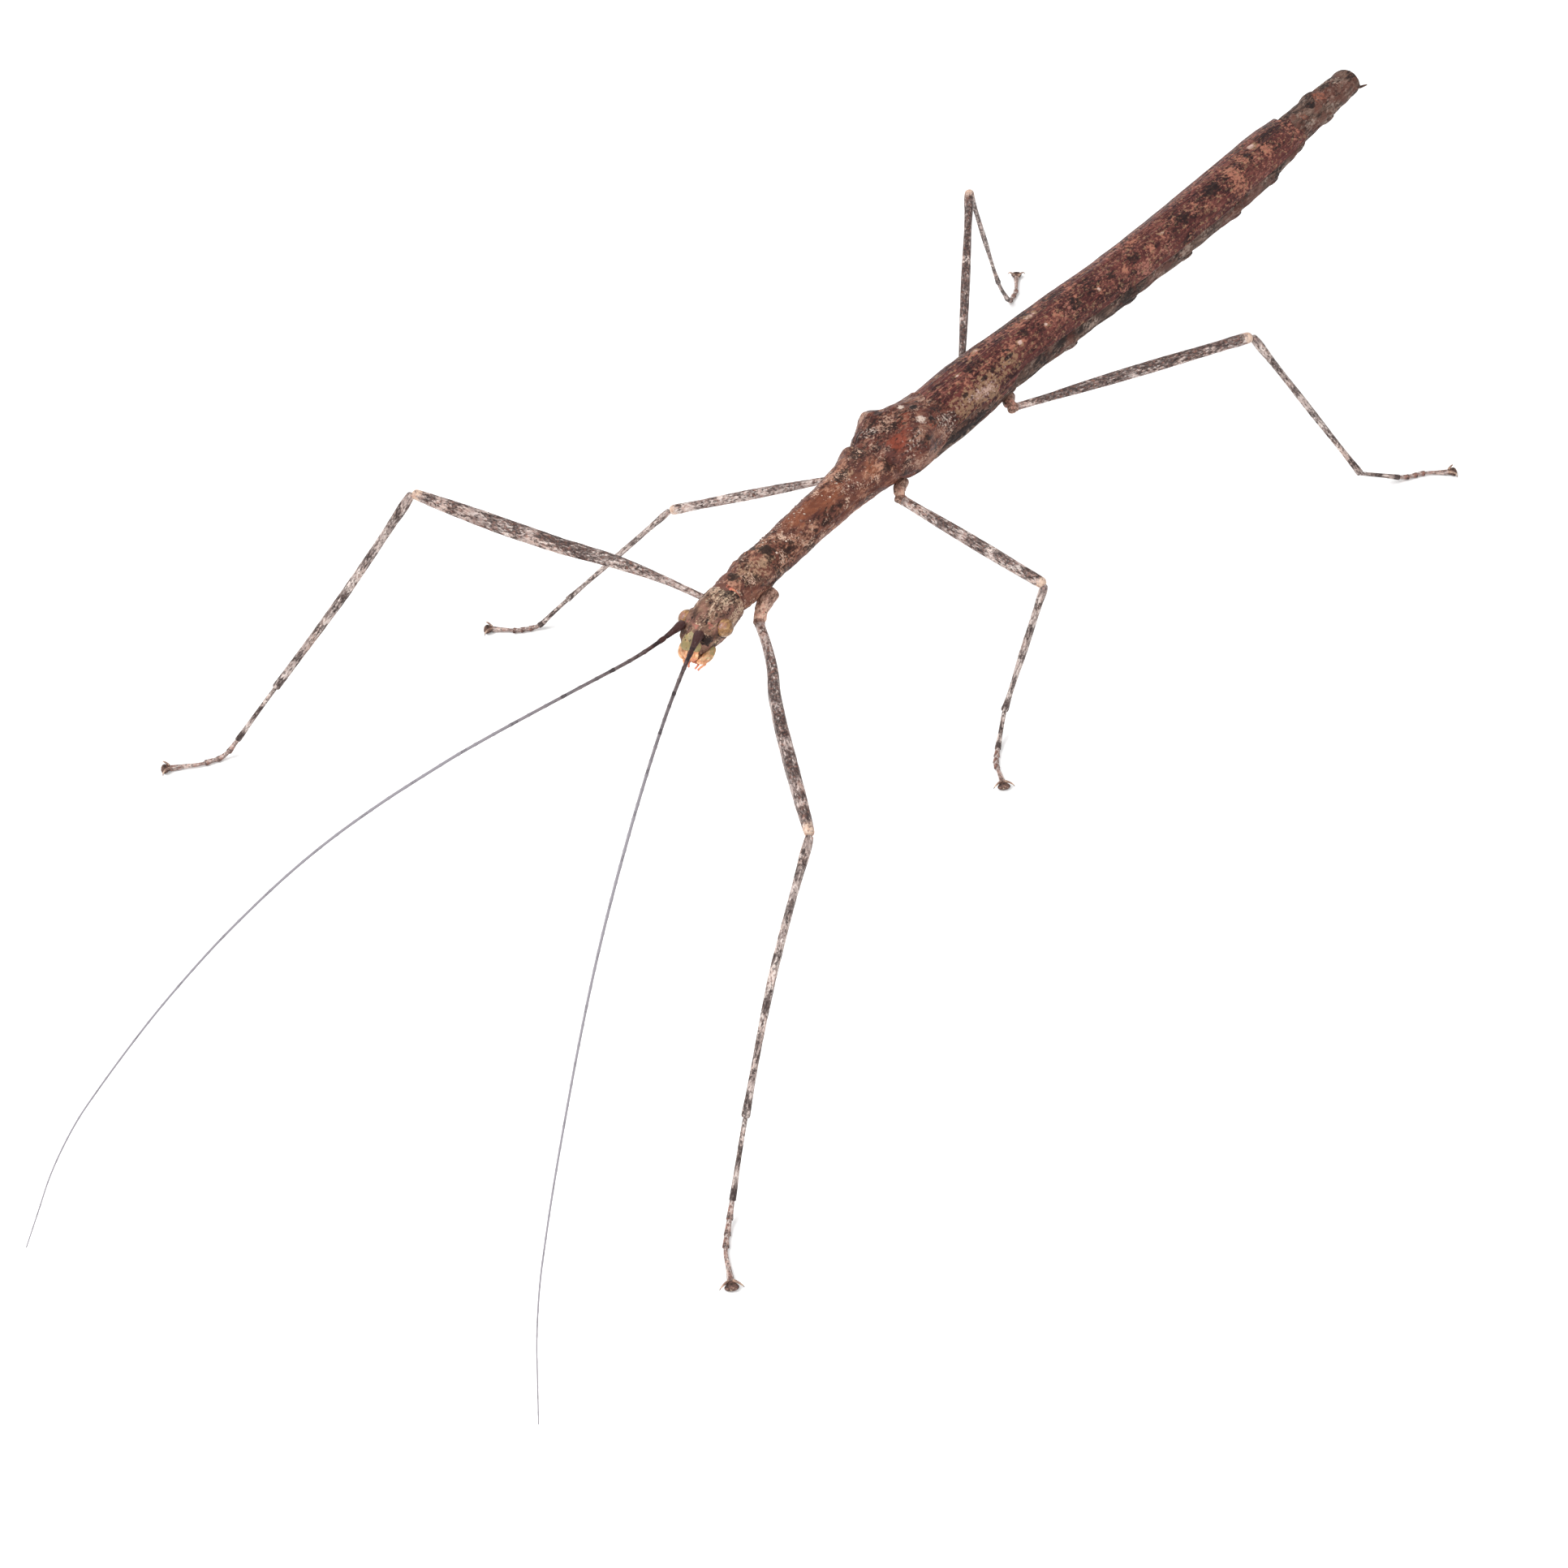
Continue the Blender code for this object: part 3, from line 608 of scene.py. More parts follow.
# The mouth is soft and bright: thin waxy cuticle over flesh, from olive green to orange.
MOUTH_SKIN = Finish(
    "waxy_mouth_cuticle",
    "#a9714f #c48a62 #d8a077 #e3b48c #efcba8",
    (0.12, 1.5),
    (
        Layer("#8d5c48", 0.08, 0.18, 1.2, 0.6, 0.06, 0.5),
        painted(Mark.PALE, "#7c7851", 0.14, 0.85, 0.35),
        painted(Mark.WARM, "#bd6352", 0.14, 0.8, 0.3),
        painted(Mark.DARK, "#41271f", 0.1, 0.9, 0.12),
    ),
    roughness=0.4,
    subsurface=0.2,
    specular=0.25,
)
# An eye is a dome of tiny clear lenses over ochre pigment, a few darker freckles and painted shade below.
EYE_LENS = Finish(
    "clear_faceted_lens",
    "#4f3520 #6b4a2c #86613d #9c764d #b08a60",
    (0.14, 1.0),
    (
        Layer("#4a2f20", 0.06, 0.16, 1.0, 0.7, 0.1, 0.3),
        painted(Mark.WARM, "#94665a", 0.1, 0.75, 0.25),
        painted(Mark.DARK, "#1f1210", 0.06, 0.9, 0.25, 1.2),
    ),
    roughness=0.25,
    grain=0.05,
    grain_height=0.005,
    specular=0.3,
    coat=0.25,
)
# Claws are clear brown horn that darkens to the point; a pad is soft, dull skin with a pale rim.
CLAW_HORN = Finish(
    "translucent_claw_horn",
    "#59433b #72594e #8e7363 #ab907d #c5ae9b",
    (0.08, 3.0),
    (painted(Mark.DARK, "#3a2924", 0.06, 0.9, 0.3, 0.5),),
    roughness=0.35,
    grain_height=0.006,
    subsurface=0.15,
)
PAD_SKIN = Finish(
    "soft_foot_pad",
    "#2b1e1d #40302c #563f38 #6d5248 #86695c",
    (0.1, 1.0),
    (
        painted(Mark.DARK, "#30241d", 0.08, 0.85, 0.2),
        painted(Mark.PALE, "#c9b199", 0.08, 0.9, 0.2),
    ),
    roughness=0.55,
    grain=0.05,
    grain_height=0.014,
    subsurface=0.1,
    specular=0.2,
)
GRANULE_SKIN = Finish(
    "white_capped_granule",
    "#36211c #492d26 #5b392f #6d473b #80594a",
    (0.08, 1.0),
    (
        painted(Mark.DARK, "#251613", 0.06, 0.85, 0.3, 0.6),
        painted(Mark.PALE, "#bba697", 0.06, 0.95, 0.3, 0.8),
    ),
    roughness=0.45,
    grain=0.05,
    grain_height=0.006,
    specular=0.2,
)


# Forms


@dataclass(frozen=True)
class Spots:
    """The points of a form as they are painted.

    Attributes:
        part: how far along the form each one is, from 0 to 1.
        turn: how far round it, from 0 to 1; 0 is underneath and 0.25 on the insect's left.
        points: their places in the plan, in millimetres.
    """

    part: Array
    turn: Array
    points: Array

    @property
    def degrees(self) -> Array:
        """The angle up from the left side."""
        return self.turn * 360 - 90

    def masks(self, dark: Array | float = 0, pale: Array | float = 0, warm: Array | float = 0) -> Array:
        """The three painted masks, one row for each point."""
        return np.stack([mask + 0.0 * self.part for mask in (dark, pale, warm)], axis=1)


Paint = Callable[[Spots], Array]


@dataclass(frozen=True)
class Patches:
    """Soft-edged painted patches, as rows for each of the three masks.

    A row is a place (x, y, z), its reach in those directions and a share, of which 0.5 covers half
    of its middle. A row of five leaves out z: it lies on the back, whatever the height there.
    """

    dark: tuple = ()
    pale: tuple = ()
    warm: tuple = ()

    def over(self, marks: Array, points: Array) -> Array:
        """Raises the masks of the points, and returns them."""
        for column, rows in enumerate((self.dark, self.pale, self.warm)):
            for row in rows:
                if len(row) == 5:
                    row = (*row[:2], BACK_HEIGHT, *row[2:4], BACK_REACH, row[4])
                gap = np.linalg.norm((points - row[:3]) / row[3:6], axis=1)
                marks[:, column] += row[6] * np.clip(1.6 - 1.6 * gap, 0, 1)
        return marks


def round_outline(radii: Sequence, flat: float = 1.0) -> Outline:
    """A round outline whose radius follows rows of a part and a radius, flat times as high as wide."""

    def outline(part: Array, turn: Array) -> Array:
        """Returns sideways, forward and upward offsets."""
        radius = read_curve(radii, part)
        wide, tall = heading(turn)
        return offsets(radius * wide, flat * radius * tall)

    return outline


@dataclass
class Form:
    """A closed skin swept along a line.

    Attributes:
        line: the line's knots in the plan, in millimetres.
        outline: gives each point's offsets from the line, from its part and its turn.
        around: faces round the form.
        step: distance between rows, in millimetres.
        lip: how much the two ends are rounded, in millimetres.
        axes: rows of the sideways, forward and upward directions, where every row shares them.
        pinched: leaves the ends to the outline, which draws them together.
        paint: gives the three masks, if the form has any.
    """

    line: Array
    outline: Outline
    around: int = 20
    step: float = 0.15
    lip: float = 0.08
    axes: Array | None = None
    pinched: bool = False
    paint: Paint = Spots.masks

    def rows(self) -> tuple[Array, Array, Array]:
        """For each row, its distance along the line, how far it is drawn in, and its share of full size."""
        length = measured(self.line)[-1, 0]
        if self.pinched:
            places = np.linspace(0, length, max(2, round(length / self.step)) + 1)
            return places, 0 * places, 0 * places + 1
        lip = min(self.lip, length / 3)
        turn = np.linspace(0, math.pi / 2, 5)
        rim, inset = lip * (1 - np.cos(turn)), lip * (1 - np.sin(turn))
        body = np.linspace(lip, length - lip, max(2, round((length - 2 * lip) / self.step)) + 1)[1:-1]
        places = np.concatenate(((0, 0), rim, body, length - rim[::-1], (length, length)))
        insets = np.concatenate(((lip, lip), inset, 0 * body, inset[::-1], (lip, lip)))
        shares = np.ones(len(places))
        shares[[0, 1, -2, -1]] = 0, 0.6, 0.6, 0
        return places, insets, shares

    def frames(self, places: Array) -> tuple[Array, Array, Array, Array]:
        """The line's points at places along it, and the directions sideways, along and upward."""
        knots = measured(self.line)
        points = read_curve(knots, places)
        if self.axes is not None:
            return points, *(np.ones((len(places), 1)) * axis for axis in self.axes)
        reach = 0.02 * knots[-1, 0]
        along = unit(read_curve(knots, places + reach) - read_curve(knots, places - reach))
        side = unit(np.cross(along, UPRIGHT[0] if np.abs(along @ UP).max() > 0.97 else UP))
        return points, side, along, np.cross(side, along)

    def build(self) -> Skin:
        """Weaves the skin: a grid that is wrapped round the line and closed."""
        places, insets, shares = self.rows()
        skin = bmesh.new()
        bmesh.ops.create_grid(skin, x_segments=self.around, y_segments=len(places) - 1, size=1)
        turn = np.tile(np.linspace(0, 1, self.around + 1), len(places)) % 1.0
        row = np.repeat(np.arange(len(places)), self.around + 1)
        part = places[row] / places[-1]
        middle, side, along, up = (found[row] for found in self.frames(places))
        offset = self.outline(part, turn)
        size = np.linalg.norm(offset[:, ::2], axis=1)
        offset[:, ::2] *= (shares[row] * np.clip(1 - insets[row] / np.maximum(size, 1e-6), 0, 1))[:, None]
        points = middle + side * offset[:, :1] + along * offset[:, 1:2] + up * offset[:, 2:]
        own = np.column_stack((offset[:, 0], places[row], offset[:, 2]))
        straight = points if self.axes is not None else own
        values = [found.tolist() for found in (points, straight, self.paint(Spots(part, turn, points)))]
        straight_layer = skin.verts.layers.float_vector.new("straight")
        marks_layer = skin.verts.layers.float_vector.new("marks")
        for vert, point, place, mark in zip(skin.verts, *values):
            vert.co = point
            vert[straight_layer] = place
            vert[marks_layer] = mark
        bmesh.ops.remove_doubles(skin, verts=skin.verts, dist=1e-5)
        bmesh.ops.recalc_face_normals(skin, faces=skin.faces)
        return skin


def add_piece(name: str, parts: Sequence[Skin], finish: Finish, slot: str, *nodes: str) -> None:
    """Finishes a piece: one mesh in metres in the CAD frame, dressed and riding on the body.

    Args:
        name: the piece's name in plain words.
        parts: its skins, in plan millimetres, which are freed.
        finish: its surface.
        slot: not used.
        nodes: the CAD nodes that it stands for.
    """
    mesh = bpy.data.meshes.new(name)
    whole, *extras = parts
    for extra in extras:
        extra.to_mesh(mesh)
        whole.from_mesh(mesh)
        extra.free()
    bmesh.ops.translate(whole, verts=whole.verts, vec=ORIGIN)
    bmesh.ops.scale(whole, verts=whole.verts, vec=(MM, MM, MM))
    whole.to_mesh(mesh)
    whole.free()
    mesh.shade_smooth()
    mesh.materials.append(finish.material())
    piece = bpy.data.objects.new(name, mesh)
    bpy.context.scene.collection.objects.link(piece)
    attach(piece, BODY)
    if nodes:
        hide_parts(*nodes)
    LOG.info("%s: %d faces, %s", name, len(mesh.polygons), finish.name)


# Sub-assemblies


@dataclass
class Trunk:
    """The body's own sections, as the CAD solids have them."""

    rows: Array = field(init=False)

    def __post_init__(self) -> None:
        """Measures every solid of the trunk, front to rear."""
        names = ["prothorax", "mesothorax", "metathorax", *(f"abdomen_{n}" for n in range(2, 10))]
        self.rows = np.concatenate([Solid(name).profile(9) for name in names])

    def at(self, y: Array) -> Array:
        """Half width, height of the widest line, rise and depth, one row for each y."""
        return np.stack([np.interp(y, self.rows[:, 0], column) for column in self.rows.T[1:]], axis=-1)

    def spine(self, start: float, end: float, count: int = 24) -> Array:
        """The body's middle line from one y to another."""
        y = np.linspace(start, end, count)
        return np.stack((0 * y, y, self.at(y)[:, 1]), axis=1)

    def plate(
        self,
        names: tuple[str, str],
        ends: tuple[float, float],
        relief: Relief,
        paint: Paint,
        finish: Finish,
        slot: str,
        around: int = 110,
        step: float = 0.12,
        lip: float = 0.12,
        knots: int = 24,
    ) -> None:
        """Makes a plate or ring: the trunk's own oval from one y to another, with relief.

        Args:
            names: the piece and the CAD node that it stands for.
            ends: the y at its front and at its rear.
            relief: gives the height over the oval from y, degrees and points.
            paint: gives its masks.
            finish: its surface.
            slot: not used.
            around: faces round it.
            step: distance between rows.
            lip: how much its ends are rounded.
            knots: points of its middle line.
        """

        def outline(part: Array, turn: Array) -> Array:
            """Returns sideways, forward and upward offsets."""
            y = ends[0] + (ends[1] - ends[0]) * part
            half_width, _, up, down = self.at(y).T
            wide, tall = heading(turn)
            height = relief(y, turn * 360 - 90, np.stack((wide * half_width, y, tall * up), axis=1))
            return offsets(wide * (half_width + height), tall * (np.where(tall > 0, up, down) + height))

        skin = Form(self.spine(*ends, knots), outline, around, step, lip, UPRIGHT, paint=paint).build()
        add_piece(names[0], [skin], finish, slot, names[1])


def upper_side(degrees: Array) -> Array:
    """1 on the back, 0 from the sides down."""
    return np.clip(np.sin(np.radians(degrees)) * 1.6, 0, 1)


@dataclass
class Thorax:
    """The collar, the short pronotum, the long mesothorax and the metathorax under the wings."""

    trunk: Trunk
    keel: float = 0.07
    granules: int = 64

    def build(self) -> None:
        """Makes the collar, the three plates of the thorax and the granules on them."""
        plate = self.trunk.plate
        self.build_collar()
        names = ("pronotum", "prothorax")
        looks = (self.pronotum_relief, self.pronotum_paint, THORAX_SKIN, "cuticle")
        plate(names, (4.5, 8.02), *looks, step=0.08, lip=0.14)
        names = ("mesothorax_plates", "mesothorax")
        plate(names, (7.85, 21.6), self.mesothorax_relief, self.mesothorax_paint, THORAX_SKIN, "cuticle")
        self.build_granules()
        names = ("metathorax_plates", "metathorax")
        looks = (self.metathorax_relief, self.metathorax_paint, ABDOMEN_SKIN, "belly")
        plate(names, (21.35, 34.6), *looks, around=84)

    def build_collar(self) -> None:
        """The soft neck skin between head and pronotum: salmon at the top left, brown round the rest."""
        height = self.trunk.at(4.6)[1]
        line = straight_line(*((0, y, height) for y in (3.7, 4.3, 4.95)))
        outline = round_outline(((0, 1.0), (0.45, 1.2), (0.62, 1.27), (1, 1.05)), flat=0.93)

        def paint(spots: Spots) -> Array:
            """Dark except at the top left, with a darker dot."""
            dark = np.where(np.abs(angle_gap(spots.degrees, 42)) > 30, 0.75, 0.3)
            return COLLAR_PATCHES.over(spots.masks(dark, warm=0.75), spots.points)

        add_piece("neck_skin", [Form(line, outline, 72, 0.06, paint=paint).build()], MOUTH_SKIN, "mouth")

    def pronotum_relief(self, y: Array, degrees: Array, points: Array) -> Array:
        """A raised front margin, a cross groove and swollen rear corners."""
        height = 0.07 * ridge(y - 4.75, 0.28) + 0.05 * ridge(y - 7.8, 0.3) - 0.09 * ridge(y - 5.85, 0.3)
        height = height * upper_side(degrees) - 0.05 * rib(degrees, 90, 7) * ridge(y - 6.2, 1.6)
        height += 0.16 * ribs(degrees, 22, 34) * ridge(y - 7.0, 1.0) - 0.1 * ribs(degrees, -10, 10)
        return height + bark(points, (0.055, 0.4, 3), (0.035, 0.17, 4)) - 0.02

    def pronotum_paint(self, spots: Spots) -> Array:
        """Dark grooves, tan mottles and rough pinkish corners."""
        y, degrees = spots.points[:, 1], spots.degrees
        dark = 0.3 * ridge(y - 5.5, 0.5) + 0.2 * rib(degrees, 90, 8)
        pale = 0.45 * ribs(degrees, 8, 34) * ridge(y - 6.9, 1.3)
        return THORAX_PATCHES.over(spots.masks(dark, pale), spots.points)

    def mesothorax_relief(self, y: Array, degrees: Array, points: Array) -> Array:
        """A keel along the back, side plates parted by long grooves, and swollen rear corners."""
        height = 0.06 * ridge(y - 8.25, 0.4) + 0.05 * ridge(y - 19.6, 0.6) - 0.05 * ridge(y - 18.9, 0.4)
        height = height * upper_side(degrees) + self.keel * rib(degrees, 90, 5) * ridge(y - 14, 6.4)
        height += 0.05 * ribs(degrees, 16, 5) - 0.07 * ribs(degrees, 6, 5) - 0.06 * ribs(degrees, -38, 4)
        height += 0.32 * ridge(y - 20.7, 3.0) * ribs(degrees, 30, 50) - 0.05 * rib(degrees, -90, 4)
        return height + bark(points, (0.05, 0.9, 5, 1.5), (0.03, 0.3, 6, 1.3), (0.015, 0.14, 7)) - 0.03

    def mesothorax_paint(self, spots: Spots) -> Array:
        """Greenish black at the front, orange-brown patches on the back."""
        front, degrees = np.clip((11.6 - spots.points[:, 1]) / 3.2, 0, 1), spots.degrees
        dark = 0.5 * front + 0.12 * (degrees < 12) * (degrees > -60)
        return THORAX_PATCHES.over(spots.masks(dark, 0.2 * front, 0.25 * rib(degrees, 15, 40)), spots.points)

    def metathorax_relief(self, y: Array, degrees: Array, points: Array) -> Array:
        """Grooves along the sides and underneath, and two across."""
        height = -0.07 * rib(degrees, -90, 4) - 0.09 * ribs(degrees, -8, 5) - 0.07 * ribs(degrees, -42, 4)
        height -= 0.1 * ridge(y - 24.6, 0.35) + 0.06 * ridge(y - 31.2, 0.3)
        return height + bark(points, (0.05, 0.8, 8, 2), (0.02, 0.2, 9, 2)) - 0.02

    def metathorax_paint(self, spots: Spots) -> Array:
        """Painted shade: a dark band along the side, under the wing's edge."""
        # The dark mask is painted shade under the wing's overhanging edge, strongest near y 27.5.
        shade = 0.4 + 0.4 * ridge(spots.points[:, 1] - 27.5, 5.0)
        return spots.masks(shade * rib(spots.degrees, 0, 30))

    def build_granules(self) -> None:
        """White-capped grains, each in a dark ring, scattered over the mesothorax."""
        random = np.random.default_rng(11)
        found = []
        for _ in range(self.granules):
            y, degrees = random.uniform(8.3, 20.0), 90 + random.normal(0, 42)
            size, cap = random.uniform(0.035, 0.08), random.choice((0.35, 0.6, 1.0), p=(0.4, 0.4, 0.2))
            found.append(self.granule(y, math.radians(degrees), size, cap))
        add_piece("thorax_granules", found, GRANULE_SKIN, "cuticle")

    def granule(self, y: float, angle: float, size: float, cap: float) -> Skin:
        """One grain: a small dome on a wider foot.

        Args:
            y: where it stands along the body.
            angle: the way it faces, in radians up from the left side.
            size: its radius in millimetres.
            cap: how white its cap is.

        Returns:
            Its skin.
        """
        half_width, axis, up, down = self.trunk.at(y)
        outward = np.array((math.cos(angle), 0, math.sin(angle)))
        sunk = 0.02
        reach = np.array((half_width - sunk, 0, (up if outward[2] > 0 else down) - sunk))
        place = np.array((0, y, axis)) + outward * reach
        line = straight_line(place - outward * 0.08, place + outward * size * 0.55)
        outline = round_outline(((0, 2.0 * size), (0.5, 1.35 * size), (1, 0.8 * size)))

        def paint(spots: Spots) -> Array:
            """A white cap over a dark foot."""
            dark, pale = np.clip(1.2 - spots.part * 2.5, 0, 1), np.clip(spots.part * 3 - 1.4, 0, 1)
            return spots.masks(dark, cap * pale)

        return Form(line, outline, 8, 0.08, size * 0.5, paint=paint).build()


# Places in the plan of the marks on the thorax.
THORAX_PATCHES = Patches(
    dark=(
        (0.0, 5.3, 14.9, 0.6, 0.5, 0.6, 0.8),
        (0.2, 8.5, 15.2, 0.5, 0.45, 0.6, 1.0),
        (-0.8, 7.9, 14.9, 0.7, 0.6, 0.6, 0.5),
        (0.0, 16.9, 15.7, 0.7, 1.2, 0.6, 0.7),
        (-0.4, 19.2, 15.8, 0.8, 1.1, 0.6, 0.75),
    ),
    pale=(
        (0.5, 6.4, 14.9, 1.3, 1.5, 1.1, 0.6),
        (0.75, 7.7, 15.0, 0.6, 0.7, 0.6, 0.6),
        (0.9, 8.35, 14.9, 0.2, 0.25, 0.2, 1.1),
        (0.3, 17.2, 15.8, 0.5, 1.1, 0.5, 0.5),
        (-0.9, 20.0, 15.6, 0.8, 1.2, 0.6, 0.55),
    ),
    warm=(
        (0.7, 5.1, 14.6, 0.6, 0.6, 0.6, 0.35),
        (-0.1, 12.0, 15.4, 1.0, 2.0, 0.8, 0.9),
        (0.4, 14.6, 15.5, 1.1, 2.4, 0.8, 0.85),
        (1.1, 18.9, 15.5, 0.8, 1.3, 0.8, 0.6),
    ),
)
COLLAR_PATCHES = Patches(dark=((1.25, 4.55, 13.75, 0.2, 0.3, 0.2, 1.0),))


@dataclass
class HeadFrame:
    """The head's own straight plan, which is turned and rolled a little about the neck."""

    roll: float = 0.09
    neck: Array = field(init=False)
    axes: Array = field(init=False)

    def __post_init__(self) -> None:
        """Reads the neck and the turn from the CAD solids of the head and the eyes."""
        left, right = (Solid(f"eye_{side}").middle for side in SIDES)
        turn = math.atan2(left[1] - right[1], left[0] - right[0])
        self.neck = np.array((0.0, (Solid("head").high[1] + PRONOTUM_FRONT) / 2 - 0.1, left[2]))
        level = np.array((math.cos(turn), math.sin(turn), 0.0))
        side = math.cos(self.roll) * level + math.sin(self.roll) * UP
        up = math.cos(self.roll) * UP - math.sin(self.roll) * level
        self.axes = np.array((side, (-level[1], level[0], 0.0), up))

    def place(self, x: float, y: float, z: float) -> Array:
        """Turns a point of the straight head, x left, y back from the face, z over the eyes' line."""
        return self.neck + np.array((x, y - self.neck[1], z)) @ self.axes

    def straighten(self, points: Array) -> Array:
        """Turns points of the plan back to the straight head."""
        return (points - self.neck) @ self.axes.T + np.array((0.0, self.neck[1], 0.0))


@dataclass
class Head:
    """The head capsule with its eyes and the parts of the mouth.

    The sections give, for places back from the face, half width, rise and depth, and the height
    of the middle line over the line between the eyes.
    """

    frame: HeadFrame
    sections: tuple = (
        (-0.05, 0.72, 0.35, 0.5, -0.55),
        (0.25, 0.98, 0.72, 0.75, -0.4),
        (0.6, 1.1, 0.95, 0.95, -0.32),
        (1.0, 1.2, 1.08, 1.1, -0.26),
        (1.7, 1.33, 1.18, 1.3, -0.18),
        (2.6, 1.41, 1.2, 1.42, -0.06),
        (3.6, 1.4, 1.15, 1.4, 0.04),
        (4.47, 1.36, 1.1, 1.3, 0.1),
    )
    eye_place: tuple = (1.43, 1.85, 0.1)
    root_place: tuple = (0.74, 0.46, 0.28)
    eye_radius: float = 0.57
    lens_count: int = 2562  # the eye's points one division before the last
    squareness: float = 2.3

    def build(self) -> None:
        """Makes the capsule, the eyes and the mouth."""
        self.build_capsule()
        self.build_eyes()
        self.build_mouth()

    def apart(self, own: Array, place: tuple, side: int) -> Array:
        """How far straight-head points are from a place that is given for the left side."""
        return np.linalg.norm(own - np.array(place) * (side, 1, 1), axis=1)

    def capsule_relief(self, own: Array, degrees: Array) -> Array:
        """Heights over the smooth capsule, from straight-head points and degrees."""
        x, y, z = own.T
        height = bark(own, (0.03, 0.6, 21, 1.6), (0.035, 0.24, 22, 1.5), (0.025, 0.11, 23))
        height -= 0.05 * ridge(x, 0.12) * ridge(y - 3.2, 1.4) * (z > 0)
        height -= 0.04 * ridge(x, 0.3) * ridge(y - 1.5, 0.7) * (z > 0)
        for side in (-1, 1):
            eye, root = self.apart(own, self.eye_place, side), self.apart(own, self.root_place, side)
            height += 0.06 * ridge(x - side * 0.62, 0.34) * ridge(y - 3.0, 1.5) * (z > 0.3)
            height += 0.13 * ridge(eye - 0.62, 0.24) * (1 - 0.5 * ridge(degrees - 90 + side * 120, 40))
            height += 0.1 * ridge(root - 0.46, 0.16) - 0.14 * ridge(root, 0.4)
            height -= 0.05 * ridge(degrees - (90 - side * 112), 6) * ridge(y - 2.4, 1.6)
        return height

    def capsule_paint(self, spots: Spots) -> Array:
        """Long streaks on the rear half, the patches of the face, and painted shade under each eye."""
        own = self.frame.straighten(spots.points)
        x, y, z = own.T
        rear = np.clip((y - 1.9) / 0.7, 0, 1) * (z > -0.2)
        streaks = 1.4 * np.cos((x + 0.12 * rough(own, 0.5, 31, 2.0)) * 11.0)
        dark = 0.42 * rear * np.clip(streaks, 0, 1)
        # Painted shade: a dark rim in the crease round the lower half of each eye.
        for side in (-1, 1):
            dark += 0.8 * ridge(self.apart(own, self.eye_place, side) - 0.6, 0.13) * (z < 0.05)
        return FACE_PATCHES.over(spots.masks(dark, 0.44 * rear * np.clip(-streaks, 0, 1)), own)

    def build_capsule(self) -> None:
        """The head capsule, lofted from the face to the neck."""
        start, end = self.sections[0][0], self.sections[-1][0]
        y = np.linspace(start, end, 40)
        heights = read_curve(self.sections, y)[:, 3]
        line = np.array([self.frame.place(0, *place) for place in zip(y, heights)])

        def outline(part: Array, turn: Array) -> Array:
            """The oval with its relief, in the turned head's directions."""
            y = start + (end - start) * part
            half_width, up, down, middle = read_curve(self.sections, y).T
            wide, tall = heading(turn)
            power = self.squareness
            box = 1 / (np.abs(wide) ** power + np.abs(tall) ** power) ** (1 / power)
            side, rise = box * wide * half_width, box * tall * np.where(tall > 0, up, down)
            height = self.capsule_relief(np.stack((side, y, middle + rise), axis=1), turn * 360 - 90)
            return offsets(side + wide * height, rise + tall * height)

        skin = Form(line, outline, 120, 0.05, 0.22, self.frame.axes, paint=self.capsule_paint).build()
        add_piece("head_capsule", [skin], HEAD_SKIN, "cuticle", "head")

    def build_eyes(self) -> None:
        """Domes of tiny lenses, each with painted shade that darkens it towards its bottom."""
        for side, sign in SIDES.items():
            eye = bmesh.new()
            bmesh.ops.create_icosphere(eye, subdivisions=6, radius=self.eye_radius)
            straight = eye.verts.layers.float_vector.new("straight")
            marks = eye.verts.layers.float_vector.new("marks")
            for number, vert in enumerate(eye.verts):
                if number < self.lens_count:
                    vert.co *= 1.014
                blush = max(0.0, 1 - math.dist(vert.co, (sign * 0.1, -0.3, 0.45)) / 0.5)
                vert[straight] = vert.co
                # The dark mask is painted shade: it grows towards the bottom of the eye.
                vert[marks] = (max(0.0, -1.3 * vert.co.z - 0.15), 0, 0.8 * blush)
                vert.co.y *= 1.1
            x, y, z = self.eye_place
            bmesh.ops.translate(eye, verts=eye.verts, vec=self.frame.place(sign * x, y, z))
            add_piece(f"compound_eye_{side}", [eye], EYE_LENS, "eye", f"eye_{side}")

    def build_mouth(self) -> None:
        """Clypeus, labrum, mandibles, maxillae, lower lip and the two pairs of palps."""
        for look in MOUTH_PARTS:
            for side, sign in SIDES.items() if look.paired else (("", 1),):
                points = [self.frame.place(sign * x, y, z) for x, y, z in look.points]
                skin = look.build(straight_line(*points, count=14))
                nodes = ["mouthparts"] if look.name == "labrum" else []
                add_piece(f"{look.name}_{side}".strip("_"), [skin], MOUTH_SKIN, "mouth", *nodes)


